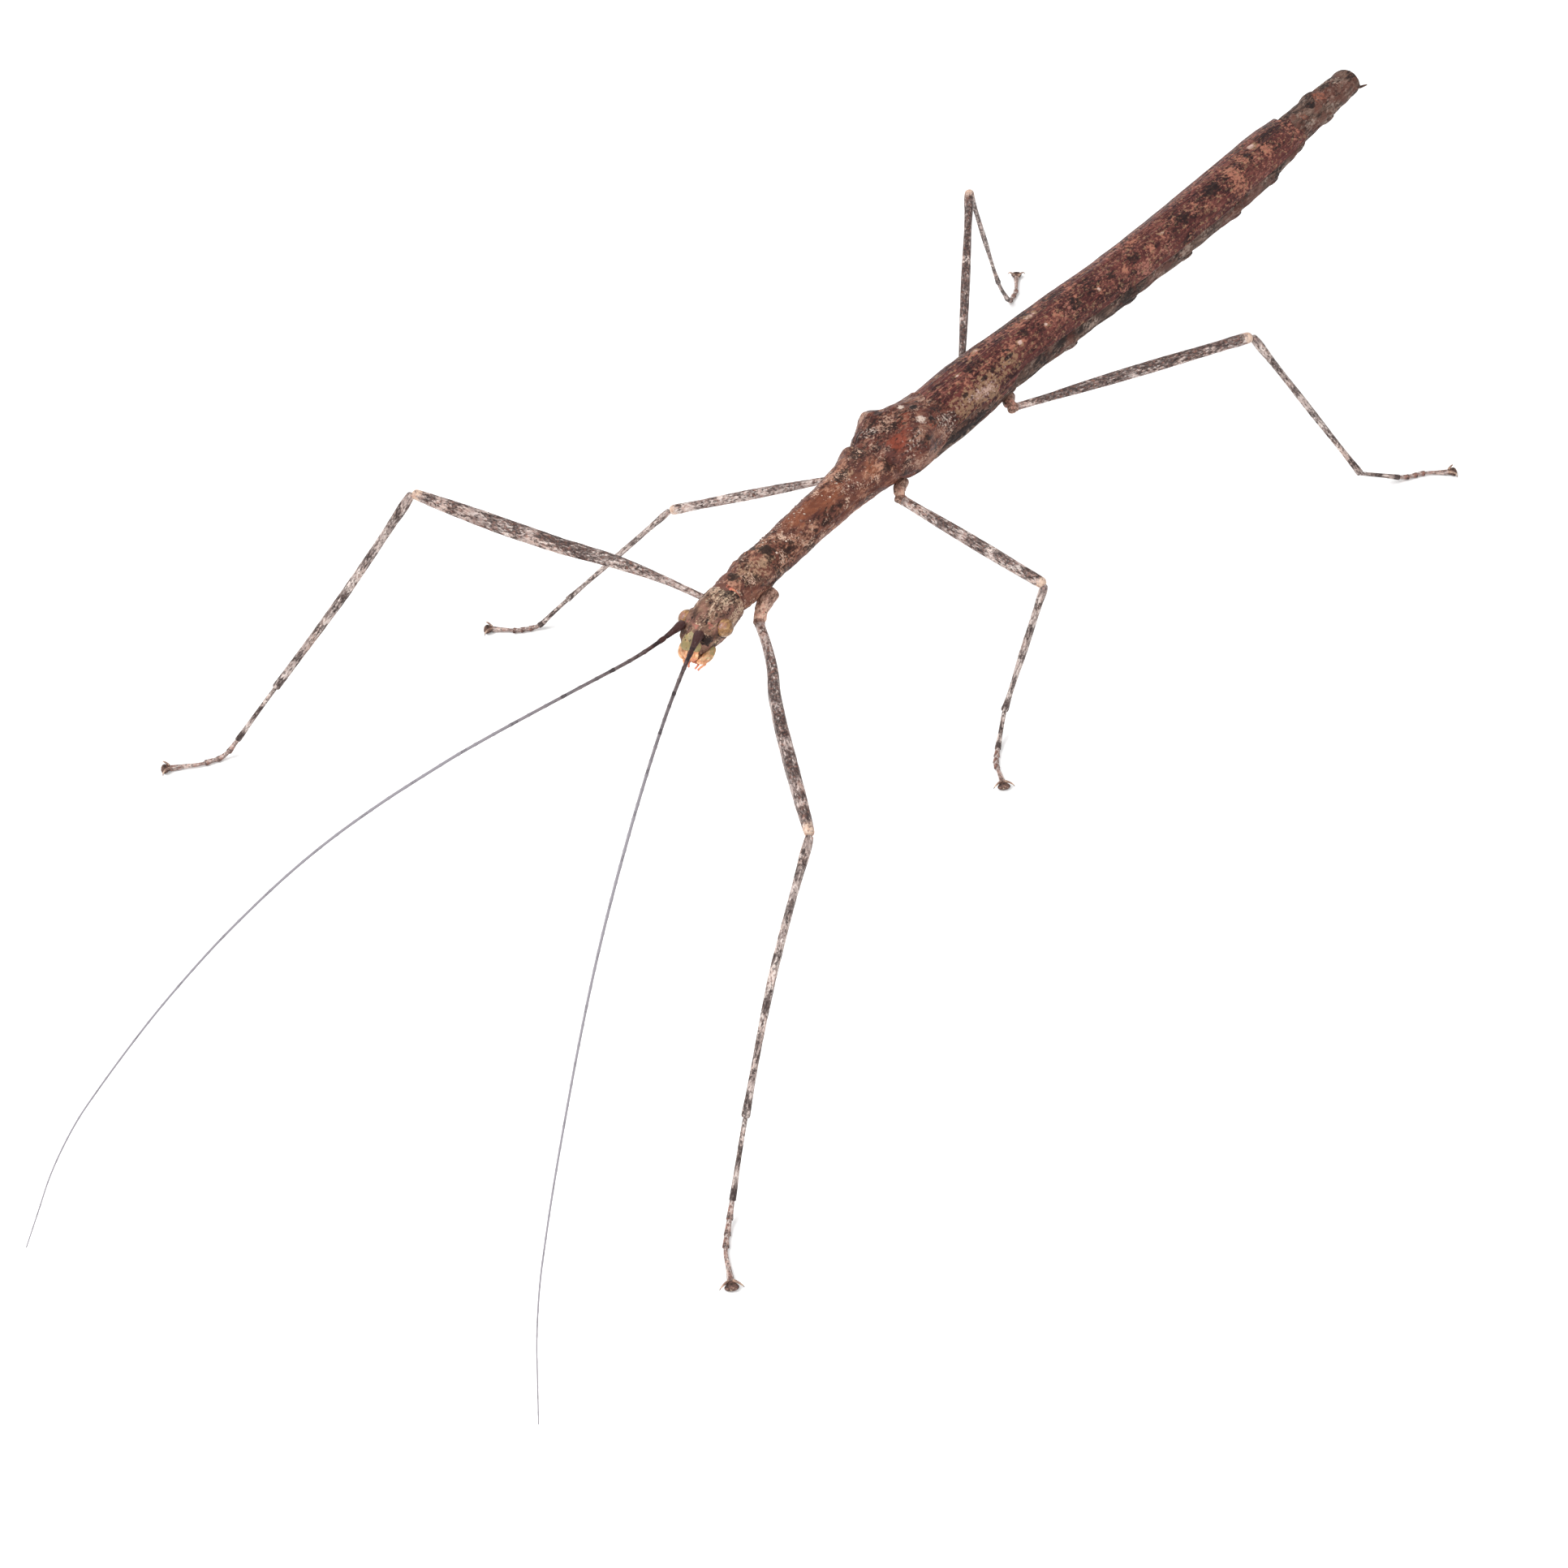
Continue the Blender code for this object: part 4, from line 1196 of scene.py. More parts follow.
@dataclass(frozen=True)
class MouthPart:
    """A small rounded part of the mouth.

    Attributes:
        name: its name.
        points: its middle line in the straight head; x is for the left one.
        radii: rows of a part along it and the half width there.
        root: the dark, pale and warm masks at its root.
        tip: the masks at its tip.
        flat: its thickness as a share of its width.
        joints: how many joints it has, with a narrow waist at each.
        paired: whether there is a left and a right one.
    """

    name: str
    points: tuple
    radii: tuple
    root: tuple
    tip: tuple
    flat: float = 1.0
    joints: int = 1
    paired: bool = True

    def build(self, line: Array) -> Skin:
        """Its skin along a line of the plan."""
        smooth = round_outline(self.radii, self.flat)

        def outline(part: Array, turn: Array) -> Array:
            """The outline with its waists and a little relief."""
            waist = 1.0
            if self.joints > 1:
                waist = 0.8 + 0.25 * np.sin(math.pi * (part * self.joints % 1.0)) ** 0.7
            angle = math.tau * turn
            lumps = np.stack((np.cos(angle), part * 4, np.sin(angle)), axis=1)
            return smooth(part, turn) * np.reshape(waist + 0.06 * rough(lumps, 0.5, 41), (-1, 1))

        def paint(spots: Spots) -> Array:
            """Masks that change from root to tip."""
            return np.array(self.root) + np.subtract(self.tip, self.root) * spots.part[:, None]

        lip = 0.85 * min(self.radii[0][1], self.radii[-1][1]) * min(self.flat * 1.4, 1)
        return Form(line, outline, 28, 0.035, lip, paint=paint).build()


MOUTH_PARTS = (
    MouthPart(
        "clypeus",
        ((0, 0.55, 0.42), (0, 0.22, 0.12), (0, -0.07, -0.3), (0, -0.2, -0.62)),
        ((0, 0.34), (0.3, 0.56), (0.7, 0.7), (1, 0.6)),
        (0.4, 0.9, 0),
        (0.15, 1.0, 0),
        0.36,
        paired=False,
    ),
    MouthPart(
        "labrum",
        ((0, -0.05, -0.55), (0, -0.28, -0.85), (0, -0.5, -1.2)),
        ((0, 0.46), (0.4, 0.52), (0.8, 0.46), (1, 0.3)),
        (0.1, 0.25, 0),
        (0, 0, 0.45),
        0.34,
        paired=False,
    ),
    MouthPart(
        "mandible",
        ((0.92, 0.85, -0.8), (0.95, 0.35, -1.05), (0.78, -0.05, -1.25), (0.35, -0.3, -1.35)),
        ((0, 0.3), (0.35, 0.36), (0.7, 0.33), (1, 0.16)),
        (0, 0.85, 0),
        (0, 0, 0.1),
        0.7,
    ),
    MouthPart(
        "maxilla",
        ((0.8, 0.9, -1.2), (0.78, 0.4, -1.45), (0.5, -0.1, -1.6)),
        ((0, 0.26), (0.6, 0.27), (1, 0.14)),
        (0.2, 0.2, 0.2),
        (0, 0, 0.5),
        0.65,
    ),
    MouthPart(
        "maxillary_palp",
        ((0.75, 0.25, -1.5), (0.8, -0.1, -1.62), (0.62, -0.35, -1.72), (0.42, -0.45, -1.95)),
        ((0, 0.085), (1, 0.07)),
        (0, 0, 0.3),
        (0, 0, 0.6),
        joints=4,
    ),
    MouthPart(
        "labial_palp",
        ((0.3, 0.1, -1.6), (0.34, -0.25, -1.72), (0.22, -0.5, -1.86)),
        ((0, 0.075), (1, 0.065)),
        (0, 0, 0.4),
        (0, 0, 0.8),
        joints=3,
    ),
    MouthPart(
        "lower_lip",
        ((0, 1.1, -1.35), (0, 0.4, -1.6), (0, -0.15, -1.68)),
        ((0, 0.6), (0.5, 0.5), (1, 0.3)),
        (0.3, 0, 0),
        (0, 0, 0.5),
        0.4,
        paired=False,
    ),
)
# Straight-head places of the marks on the capsule.
FACE_PATCHES = Patches(
    dark=(
        (0.95, 0.4, 0.0, 0.6, 0.5, 0.5, 0.95),
        (0.55, 1.25, 0.75, 0.16, 0.4, 0.5, 0.7),
        (-0.55, 1.25, 0.75, 0.16, 0.4, 0.5, 0.7),
        (1.3, 2.1, -0.6, 0.3, 0.8, 0.3, 0.5),
    ),
    pale=(
        (0.0, 1.0, 0.8, 0.3, 0.5, 0.5, 0.35),
        (0.25, 1.7, 1.0, 0.8, 0.5, 0.5, 0.3),
        (1.2, 1.0, -0.55, 0.3, 0.8, 0.4, 0.4),
    ),
    warm=(
        (0.8, 1.15, 0.6, 0.3, 0.35, 0.4, 0.6),
        (-0.8, 1.15, 0.6, 0.3, 0.35, 0.4, 0.5),
        (0.0, 0.75, 0.6, 0.35, 0.3, 0.4, 0.6),
    ),
)


@dataclass
class Feelers:
    """The two antennae, each a thick scape, a short pedicel and a long whip of rings."""

    scape_length: float = 2.0
    pedicel_length: float = 0.7
    scape_radii: tuple = ((0, 0.3), (0.15, 0.34), (0.4, 0.28), (0.7, 0.21), (1, 0.17))
    pedicel_radii: tuple = ((0, 0.15), (0.3, 0.175), (0.8, 0.165), (1, 0.14))
    whip_radii: tuple = ((0, 0.15), (0.05, 0.135), (0.4, 0.1), (0.8, 0.06), (1, 0.035))
    ring: float = 1.35

    def build(self, head: HeadFrame) -> None:
        """Makes both feelers from the routes of their CAD solids."""
        for side, sign in SIDES.items():
            nodes = [f"antenna_{side}_{name}" for name in ("scape", "inner", "outer")]
            points = [head.place(sign, 0.8, 0.4)]
            for node, count in zip(nodes, (4, 14, 14)):
                points.extend(Solid(node).centre_line(points[-1], count))
            first = points[1] - unit(points[2] - points[1]) * 0.35
            last = points[-1] + unit(points[-1] - points[-2]) * 2.2
            self.build_one(side, measured(straight_line(first, *points[1:], last, count=240)), nodes)

    def build_one(self, side: str, knots: Array, nodes: list[str]) -> None:
        """One feeler.

        Args:
            side: left or right.
            knots: rows of the distance along its route and the point there.
            nodes: the CAD nodes of its scape and its whip.
        """
        whole, start = knots[-1, 0], self.scape_length + self.pedicel_length
        ends = (0, self.scape_length, start, whole)
        spans = [read_curve(knots, np.linspace(a, b, n)) for a, b, n in zip(ends, ends[1:], (8, 5, 220))]

        def base_paint(spots: Spots) -> Array:
            """Dark maroon with a few pale flecks."""
            return spots.masks(0.25 + 0.4 * (spots.part > 0.9), warm=0.7)

        def whip_paint(spots: Spots) -> Array:
            """Dark at its base, paler towards the tip, with a darker node every few rings."""
            fade = np.clip(spots.part * 3.2, 0, 1)
            dark = (0.75 - 0.35 * fade) * (spots.part * whole / self.ring / 3 % 1.0 < 0.14)
            return spots.masks(dark, 0.1 + 0.8 * fade, 0.7 * np.clip(1 - spots.part * 14, 0, 1))

        def whip_outline(part: Array, turn: Array) -> Array:
            """Thin rings, each a little wider at its far end."""
            along = part * (whole - start) / self.ring % 1.0
            size = 0.94 + 0.16 * ridge(along - 0.95, 0.14)
            return round_outline(self.whip_radii)(part, turn) * size[:, None]

        for name, form, replaced in (
            ("scape", (round_outline(self.scape_radii, 0.78), 32, 0.06, 0.12), nodes[:1]),
            ("pedicel", (round_outline(self.pedicel_radii), 24, 0.05, 0.06), ()),
            ("feeler_whip", (whip_outline, 12, 0.1, 0.03), nodes[1:]),
        ):
            paint = whip_paint if name == "feeler_whip" else base_paint
            skin = Form(spans.pop(0), *form, paint=paint).build()
            add_piece(f"{name}_{side}", [skin], FEELER_SKIN, "feeler", *replaced)


@dataclass
class Wings:
    """The folded hindwings, which meet along the back, and the oval covers over their roots."""

    trunk: Trunk
    wall: float = 0.2
    gap: float = 0.008
    cover_settles: float = 24.3
    cover_flare: tuple = ((20.0, 23.3, 28.0), (2.02, 2.84, 2.84))
    cover_low: tuple = ((19.3, 12), (20.4, 0), (21.6, -6), (24, 8), (26.4, 20), (27.4, 30))
    cover_veins: tuple = (12, 28, 44, 60, 76)
    veins: tuple = (10, 21, 31, 42, 54, 66, 78)
    overlap: tuple = ((26, -0.1), (27.5, -0.1), (29.7, 0.6), (33, 0.9), (40, 1.0))
    hind_rows: Array = field(init=False)
    cover_rows: Array = field(init=False)

    def __post_init__(self) -> None:
        """Measures the outer faces of the wings and of their covers."""
        self.hind_rows = self.measure("hindwing_left")
        body = self.trunk.at(self.hind_rows[:, 0])[:, 0]
        self.hind_rows[:, 1] = np.maximum(self.hind_rows[:, 1], body + 0.05)
        rows = self.measure("tegmen_left")
        rear = np.clip((rows[:, 0] - self.cover_settles) / (rows[-1, 0] - self.cover_settles), 0, 1)
        rear = rear * rear * (3 - 2 * rear)
        for column in (1, 2):
            level = np.interp(rows[:, 0], self.hind_rows[:, 0], self.hind_rows[:, column]) + 0.12
            rows[:, column] += rear * (level - rows[:, column])
        rows[:, 1] = np.minimum(rows[:, 1], np.interp(rows[:, 0], *self.cover_flare))
        roots = [(y, *(self.trunk.at(y)[[0, 2]] + lift)) for y, lift in ((19.3, -0.1), (19.9, 0.03))]
        self.cover_rows = np.concatenate((roots, rows))

    def measure(self, node: str) -> Array:
        """Rows of y, half width and rise over the body's middle line."""
        rows = Solid(node).profile(24)
        tops = rows[:, 2] + rows[:, 3] - self.trunk.at(rows[:, 0])[:, 1]
        return np.column_stack((rows[:, :2], tops))

    def build(self) -> None:
        """Makes both hindwings and both covers."""
        for side, sign in SIDES.items():
            self.build_hindwing(side, sign)
            self.build_cover(side, sign)

    def sheet(
        self,
        sign: int,
        rows: Array,
        spread: Callable,
        relief: Callable,
        paint: Paint,
        step: float,
        knots: int,
    ) -> Skin:
        """A curved sheet with a wall, from its lower edge up to the middle line and back inside.

        Args:
            sign: 1 for the left wing and -1 for the right.
            rows: rows of y, half width and rise.
            spread: gives the lowest and highest angle of the sheet, in degrees, from y.
            relief: gives heights and forward shifts from y, degrees and half width.
            paint: gives its masks.
            step: distance between rows.
            knots: points of its middle line.

        Returns:
            Its skin.
        """
        start, end = rows[0, 0], rows[-1, 0]

        def outline(part: Array, turn: Array) -> Array:
            """Returns sideways, forward and upward offsets."""
            y = start + (end - start) * part
            low, high = spread(y)
            half_width, rise = (np.interp(y, rows[:, 0], column) for column in rows.T[1:])
            inner = turn >= 0.5
            across = np.where(inner, 2 - 2 * turn, 2 * turn)
            degrees = low + (high - low) * across
            height, shift = relief(y, degrees, half_width)
            rim = np.clip(1 - (2 * across - 1) ** 12, 0, 1) ** 0.5
            ends = np.clip(1 - (2 * part - 1) ** 40, 0, 1) ** 0.5
            depth = np.where(inner, -self.wall, 0) * rim * ends + (height - 0.03) * np.where(inner, 0.5, 1)
            angle = np.radians(degrees)
            side = sign * (self.gap + (half_width - self.gap + depth) * np.cos(angle))
            return np.stack((side, shift, (rise + depth) * np.sin(angle)), axis=1)

        line = self.trunk.spine(start, end, knots)
        return Form(line, outline, 92, step, axes=UPRIGHT, pinched=True, paint=paint).build()

    def build_hindwing(self, side: str, sign: int) -> None:
        """One folded hindwing, with long veins, fine pleats and a ragged rear edge."""
        end, seed = self.hind_rows[-1, 0], 2.0 * sign

        def waver(y: Array, size: float, number: int) -> Array:
            """Slow noise along the wing."""
            return rough(np.stack((0 * y, y, 0 * y + seed), axis=1), size, number)

        def spread(y: Array) -> tuple[Array, Array]:
            """From above the side, lower over the hind leg's root, up to the middle line."""
            return 21 + 2.5 * waver(y, 2.6, 36) - 18 * ridge(y - 32.4, 3.4), 90 + 0 * y

        def relief(y: Array, degrees: Array, half_width: Array) -> tuple[Array, Array]:
            """Veins stand up, and the skin between them sags and wrinkles."""
            flat = np.stack((degrees / 28, y, seed * np.clip((90 - degrees) / 15, 0, 1)), axis=1)
            height = bark(flat, (0.05, 1.2, 31, 5), (0.022, 0.35, 32, 6), (0.012, 0.12, 33, 8))
            sway = 2.0 * waver(y, 9.0, 34)
            for number, vein in enumerate(self.veins):
                height += (0.045 - 0.003 * number) * ridge(degrees - vein - sway, 1.7)
            if sign > 0:
                gap = half_width * np.cos(np.radians(degrees)) - read_curve(self.overlap, y)
                height += 0.05 * ridge(gap, 0.1) * (y < 38)
            tail = np.clip((y - end + 2.2) / 2.2, 0, 1)
            lobes = 0.35 * np.sin(np.radians(degrees * 4 + 40 * sign)) - 0.25
            return height, tail * (lobes + 0.12 * rough(flat, 0.3, 35))

        wing = self.sheet(sign, self.hind_rows, spread, relief, self.paint_wing, step=0.12, knots=60)
        add_piece(f"hindwing_sheet_{side}", [wing], WING_SKIN, "wing", f"hindwing_{side}")

    def paint_wing(self, spots: Spots) -> Array:
        """A row of dark blotches and orange flecks on each side of the middle; plainer beyond it."""
        places = spots.points * (1, 1, 0)
        x, y, _ = places.T
        row = ridge(np.abs(x) - 0.85, 1.05)
        blotches = np.clip(rough(places, 0.75, 52, 1.8) + 0.1, 0, 1)
        dark = 0.06 + 0.5 * row * blotches + 0.2 * np.clip(rough(places, 1.1, 53, 3.0), 0, 1)
        warm = 0.03 + row * (0.08 + 0.42 * np.clip(rough(places, 0.5, 51, 1.5), 0, 1))
        warm += 0.4 * ridge(x - read_curve(self.overlap, y), 0.12) * (y < 38)
        return WING_PATCHES.over(spots.masks(dark, warm=warm), spots.points)

    def build_cover(self, side: str, sign: int) -> None:
        """One oval wing cover, with a swollen shoulder and veins that fan from its root."""
        start, end = self.cover_rows[0, 0], self.cover_rows[-1, 0]

        def spread(y: Array) -> tuple[Array, Array]:
            """Down to a corner behind the root, then slowly up again; open at the rear end."""
            return read_curve(self.cover_low, y), 90 - 40 * np.clip((y - end + 0.9) / 0.9, 0, 1) ** 2

        def relief(y: Array, degrees: Array, _: Array) -> tuple[Array, Array]:
            """A knob, the shoulder and the veins."""
            flat = np.stack((degrees / 28, y, sign * np.clip((90 - degrees) / 20, 0, 1)), axis=1)
            height = bark(flat, (0.06, 0.7, 41, 2), (0.04, 0.24, 42, 3), (0.02, 0.1, 43, 2))
            height += 0.2 * ridge(y - start - 4.0, 1.1) * ridge(degrees - 40, 20)
            behind = y - start - 3.6
            shoulder = np.clip(1 - np.abs(behind) / np.where(behind < 0, 4.2, 2.6), 0, 1)
            height += 0.66 * shoulder**1.5 * ridge(degrees - 40, 45)
            fan = 0.35 + 0.8 * (y - start) / (end - start)
            for vein in self.cover_veins:
                height += 0.045 * ridge(degrees - 34 - (vein - 34) * fan, 2.4)
            return height, 0 * y

        def paint(spots: Spots) -> Array:
            """Pale knobs on the shoulders, tan mottles and a black spot."""
            return COVER_PATCHES.over(spots.masks(0.08, 0.08, 0.12), spots.points)

        cover = self.sheet(sign, self.cover_rows, spread, relief, paint, step=0.09, knots=20)
        add_piece(f"wing_cover_{side}", [cover], COVER_SKIN, "wing", f"tegmen_{side}")


# Places in the plan of the marks on the covers and the wings.
COVER_PATCHES = Patches(
    dark=(
        (0.04, 25.1, 0.3, 0.42, 1.4),
        (1.5, 25.2, 0.3, 0.5, 0.7),
        (-0.7, 21.4, 0.6, 0.9, 0.5),
        (1.1, 26.4, 0.7, 1.0, 0.4),
    ),
    pale=(
        (-0.66, 24.6, 0.36, 0.45, 0.75),
        (1.18, 24.4, 0.46, 0.6, 0.8),
        (1.87, 23.3, 0.28, 0.4, 0.2),
        (-1.0, 21.4, 0.8, 1.0, 0.36),
        (2.1, 22.6, 0.7, 1.8, 0.3),
        (1.9, 26.3, 0.7, 1.6, 0.35),
    ),
    warm=(
        (0.3, 23.6, 0.45, 0.9, 1.1),
        (1.9, 24.7, 0.3, 0.5, 0.9),
        (1.3, 21.6, 0.8, 1.0, 0.9),
        (0.9, 22.9, 0.8, 0.9, 0.4),
    ),
)
WING_PATCHES = Patches(
    dark=(
        (1.52, 29.2, 0.14, 0.42, 1.5),
        (1.44, 31.5, 0.14, 0.42, 1.5),
        (1.33, 32.7, 0.12, 0.4, 1.2),
        (1.3, 34.7, 0.13, 0.6, 1.4),
        (0.3, 31.6, 0.5, 1.4, 0.5),
        (0.6, 37.5, 0.6, 0.9, 0.6),
        (1.0, 43.4, 0.6, 1.0, 0.5),
        (1.0, 48.2, 0.4, 0.7, 0.6),
        (0.9, 51.4, 0.45, 1.1, 0.6),
        (0.94, 58.1, 0.5, 1.3, 0.6),
        (0.6, 62.9, 0.7, 1.1, 0.7),
        (0.6, 68.3, 0.7, 0.6, 0.5),
    ),
    pale=(
        (1.8, 28.2, 0.75, 2.4, 0.42),
        (1.65, 31.4, 0.75, 2.8, 0.42),
        (1.45, 34.4, 0.6, 1.8, 0.4),
        (2.15, 31.0, 0.5, 2.0, 0.3),
        (-1.3, 29.7, 0.35, 0.6, 0.45),
        (-0.8, 33.6, 0.3, 0.5, 0.65),
        (0.1, 30.2, 0.2, 0.4, 0.8),
        (1.0, 36.5, 0.28, 0.42, 0.9),
        (-0.3, 39.6, 0.4, 1.2, 0.62),
        (1.05, 39.7, 0.17, 0.28, 0.9),
        (1.2, 46.3, 0.18, 0.28, 0.9),
        (0.83, 55.4, 0.22, 0.6, 0.6),
        (-0.1, 69.6, 0.4, 0.8, 0.8),
    ),
    warm=(
        (1.05, 28.4, 0.45, 1.3, -0.4),
        (-0.7, 33.0, 0.5, 1.1, 0.6),
        (-0.2, 38.0, 0.6, 1.6, 0.45),
        (1.0, 41.2, 0.5, 0.8, 0.4),
        (-0.15, 44.4, 0.35, 1.2, 0.5),
        (1.2, 49.8, 0.32, 0.42, 0.7),
        (-0.1, 52.8, 0.4, 1.2, 0.5),
        (1.25, 53.4, 0.28, 0.4, 0.6),
        (1.3, 61.0, 0.3, 0.42, 0.7),
        (0.5, 65.5, 1.0, 0.9, 0.55),
        (1.6, 65.3, 0.7, 1.5, 0.5),
        (0.2, 67.6, 0.9, 0.7, 0.4),
        (0.9, 70.2, 0.8, 0.8, 0.5),
        (0.9, 74.0, 1.2, 0.8, 0.3),
    ),
)


@dataclass
class Abdomen:
    """Eight overlapping rings, the plate under the last of them and the two short cerci."""

    trunk: Trunk
    overlap: float = 0.45
    last: int = 9

    def build(self) -> None:
        """Makes the segments, front to rear, then the tail's plate and cerci."""
        for number in range(2, self.last + 1):
            self.build_segment(number)
        self.build_plate()
        self.build_cerci()

    def build_segment(self, number: int) -> None:
        """One ring: narrow where it slides into the one before, flared at its rear edge."""
        solid = Solid(f"abdomen_{number}")
        start, end = solid.low[1] - self.overlap, solid.high[1] + 0.06

        def relief(y: Array, degrees: Array, points: Array) -> Array:
            """The side fold, the flared rear edge, and wrinkles along the skin."""
            height = 0.13 * ridge(y - end + 0.35, 0.9) - 0.16 * np.clip((start + 0.9 - y) / 0.9, 0, 1)
            height -= 0.04 * ridge(y - start - 0.42 * (end - start), 0.2 * (end - start))
            height -= 0.1 * ribs(degrees, -12, 6) + 0.04 * rib(degrees, -90, 5)
            height += 0.06 * ribs(degrees, 2, 10) * ridge(y - end + 0.8, 2.4) - 0.02
            grains = (0.06, 0.9, 61 + number, 2.0), (0.025, 0.25, 62, 2.5), (0.012, 0.12, 63, 2.0)
            return height + bark(points, *grains)

        def paint(spots: Spots) -> Array:
            """Dark rear edges and side streaks; the named spots of the tail."""
            y = spots.points[:, 1]
            dark = 0.3 * ridge(y - end + 0.2, 0.4) + 0.28 * rib(spots.degrees, -14, 16)
            marks = spots.masks(dark, 0.1 * ridge(y - end + 0.7, 0.5), 0.12 * (y > 75))
            return TAIL_PATCHES.over(marks, spots.points)

        names = (f"abdomen_ring_{number}", f"abdomen_{number}")
        lip = 0.3 if number == self.last else 0.1
        looks = (relief, paint, ABDOMEN_SKIN, "belly")
        self.trunk.plate(names, (start, end), *looks, around=92, lip=lip, knots=12)

    def build_plate(self) -> None:
        """The keeled plate that lies under the last rings."""
        solid = Solid("operculum")
        start, end = solid.low[1], solid.high[1]
        places = np.linspace(start + 0.03, end - 0.03, 12)
        half_widths = [(y, np.abs(solid.cut(np.array((0, y, 0)), UPRIGHT[1])[:, 0]).max()) for y in places]
        y_line = np.linspace(start, end, 16)
        base = self.trunk.at(y_line)
        sunk = 0.3 * np.clip((start + 1.5 - y_line) / 1.5, 0, 1)
        line = np.stack((0 * y_line, y_line, base[:, 1] - base[:, 3] - 0.06 + sunk), axis=1)

        def outline(part: Array, turn: Array) -> Array:
            """A shallow trough with a keel along its underside."""
            half_width = read_curve(half_widths, start + (end - start) * part)
            wide, tall = heading(turn)
            side = half_width * wide
            keel = 0.12 * ridge(side, 0.25) * (tall < 0)
            return offsets(side, 0.2 * tall * np.sqrt(half_width) + 0.32 * side**2 - keel)

        def paint(spots: Spots) -> Array:
            """Dark edges."""
            return spots.masks(0.35 * (np.abs(spots.degrees) < 14))

        plate = Form(line, outline, 48, 0.1, 0.08, UPRIGHT, paint=paint).build()
        add_piece("subgenital_plate", [plate], ABDOMEN_SKIN, "belly", "operculum")

    def build_cerci(self) -> None:
        """Two short, flat, pointed cerci at the tail's end."""
        for side, sign in SIDES.items():
            solid = Solid(f"cercus_{side}")
            root = np.array((0.45 * sign, solid.low[1] - 0.3, solid.middle[2]))
            tip = np.array((solid.middle[0] + 0.36 * sign, solid.high[1] - 0.1, solid.middle[2] + 0.05))
            line = straight_line(root, (root + tip) / 2 + (0.05 * sign, -0.08, 0), tip, count=10)
            outline = round_outline(((0, 0.14), (0.5, 0.15), (1, 0.07)), 0.7)
            cercus = Form(line, outline, 20, 0.05, 0.06).build()
            add_piece(f"cercus_spike_{side}", [cercus], ABDOMEN_SKIN, "belly", f"cercus_{side}")


TAIL_PATCHES = Patches(
    dark=((0.25, 78.1, 13.5, 0.5, 0.6, 0.6, 1.2),),
    pale=((0.0, 82.4, 13.4, 0.8, 1.2, 0.6, 0.4),),
    warm=((0.2, 79.5, 13.6, 0.7, 0.8, 0.6, 0.5), (0.5, 76.4, 13.4, 0.6, 0.6, 0.6, 0.3)),
)


class Pair(Enum):
    """The three pairs of legs."""

    FORE = "fore"
    MIDDLE = "middle"
    HIND = "hind"


@dataclass(frozen=True)
class LegLook:
    """How one leg differs from the others.

    Attributes:
        femur: its radii at its base, its middle and the knee, in millimetres.
        tibia: its radii at the knee, its middle and the ankle.
        femur_pale: places of the pale gaps along the femur's dark back, as part and half length.
        tibia_dark: places of the dark bands along the tibia.
        shade: how dark the femur is overall.
        coxa_pale: how pale the lower part of the coxa is.
    """

    femur: tuple
    tibia: tuple
    femur_pale: tuple
    tibia_dark: tuple
    shade: float
    coxa_pale: float = 0.1

    def femur_radii(self) -> tuple:
        """Radii along a femur that is thin at its base and widest beyond its middle."""
        base, middle, knee = self.femur
        start = ((0, base), (0.12, base * 1.02), (0.3, 0.35 * base + 0.65 * middle))
        return *start, (0.5, middle), (0.88, middle * 0.97), (0.97, knee), (1, knee * 0.9)

    def tibia_radii(self) -> tuple:
        """Radii along a tibia that is swollen just below the knee and at the ankle."""
        knee, middle, ankle = self.tibia
        start = ((0, knee * 0.8), (0.05, knee), (0.14, middle * 1.08))
        return *start, (0.5, middle), (0.94, middle), (1, ankle)


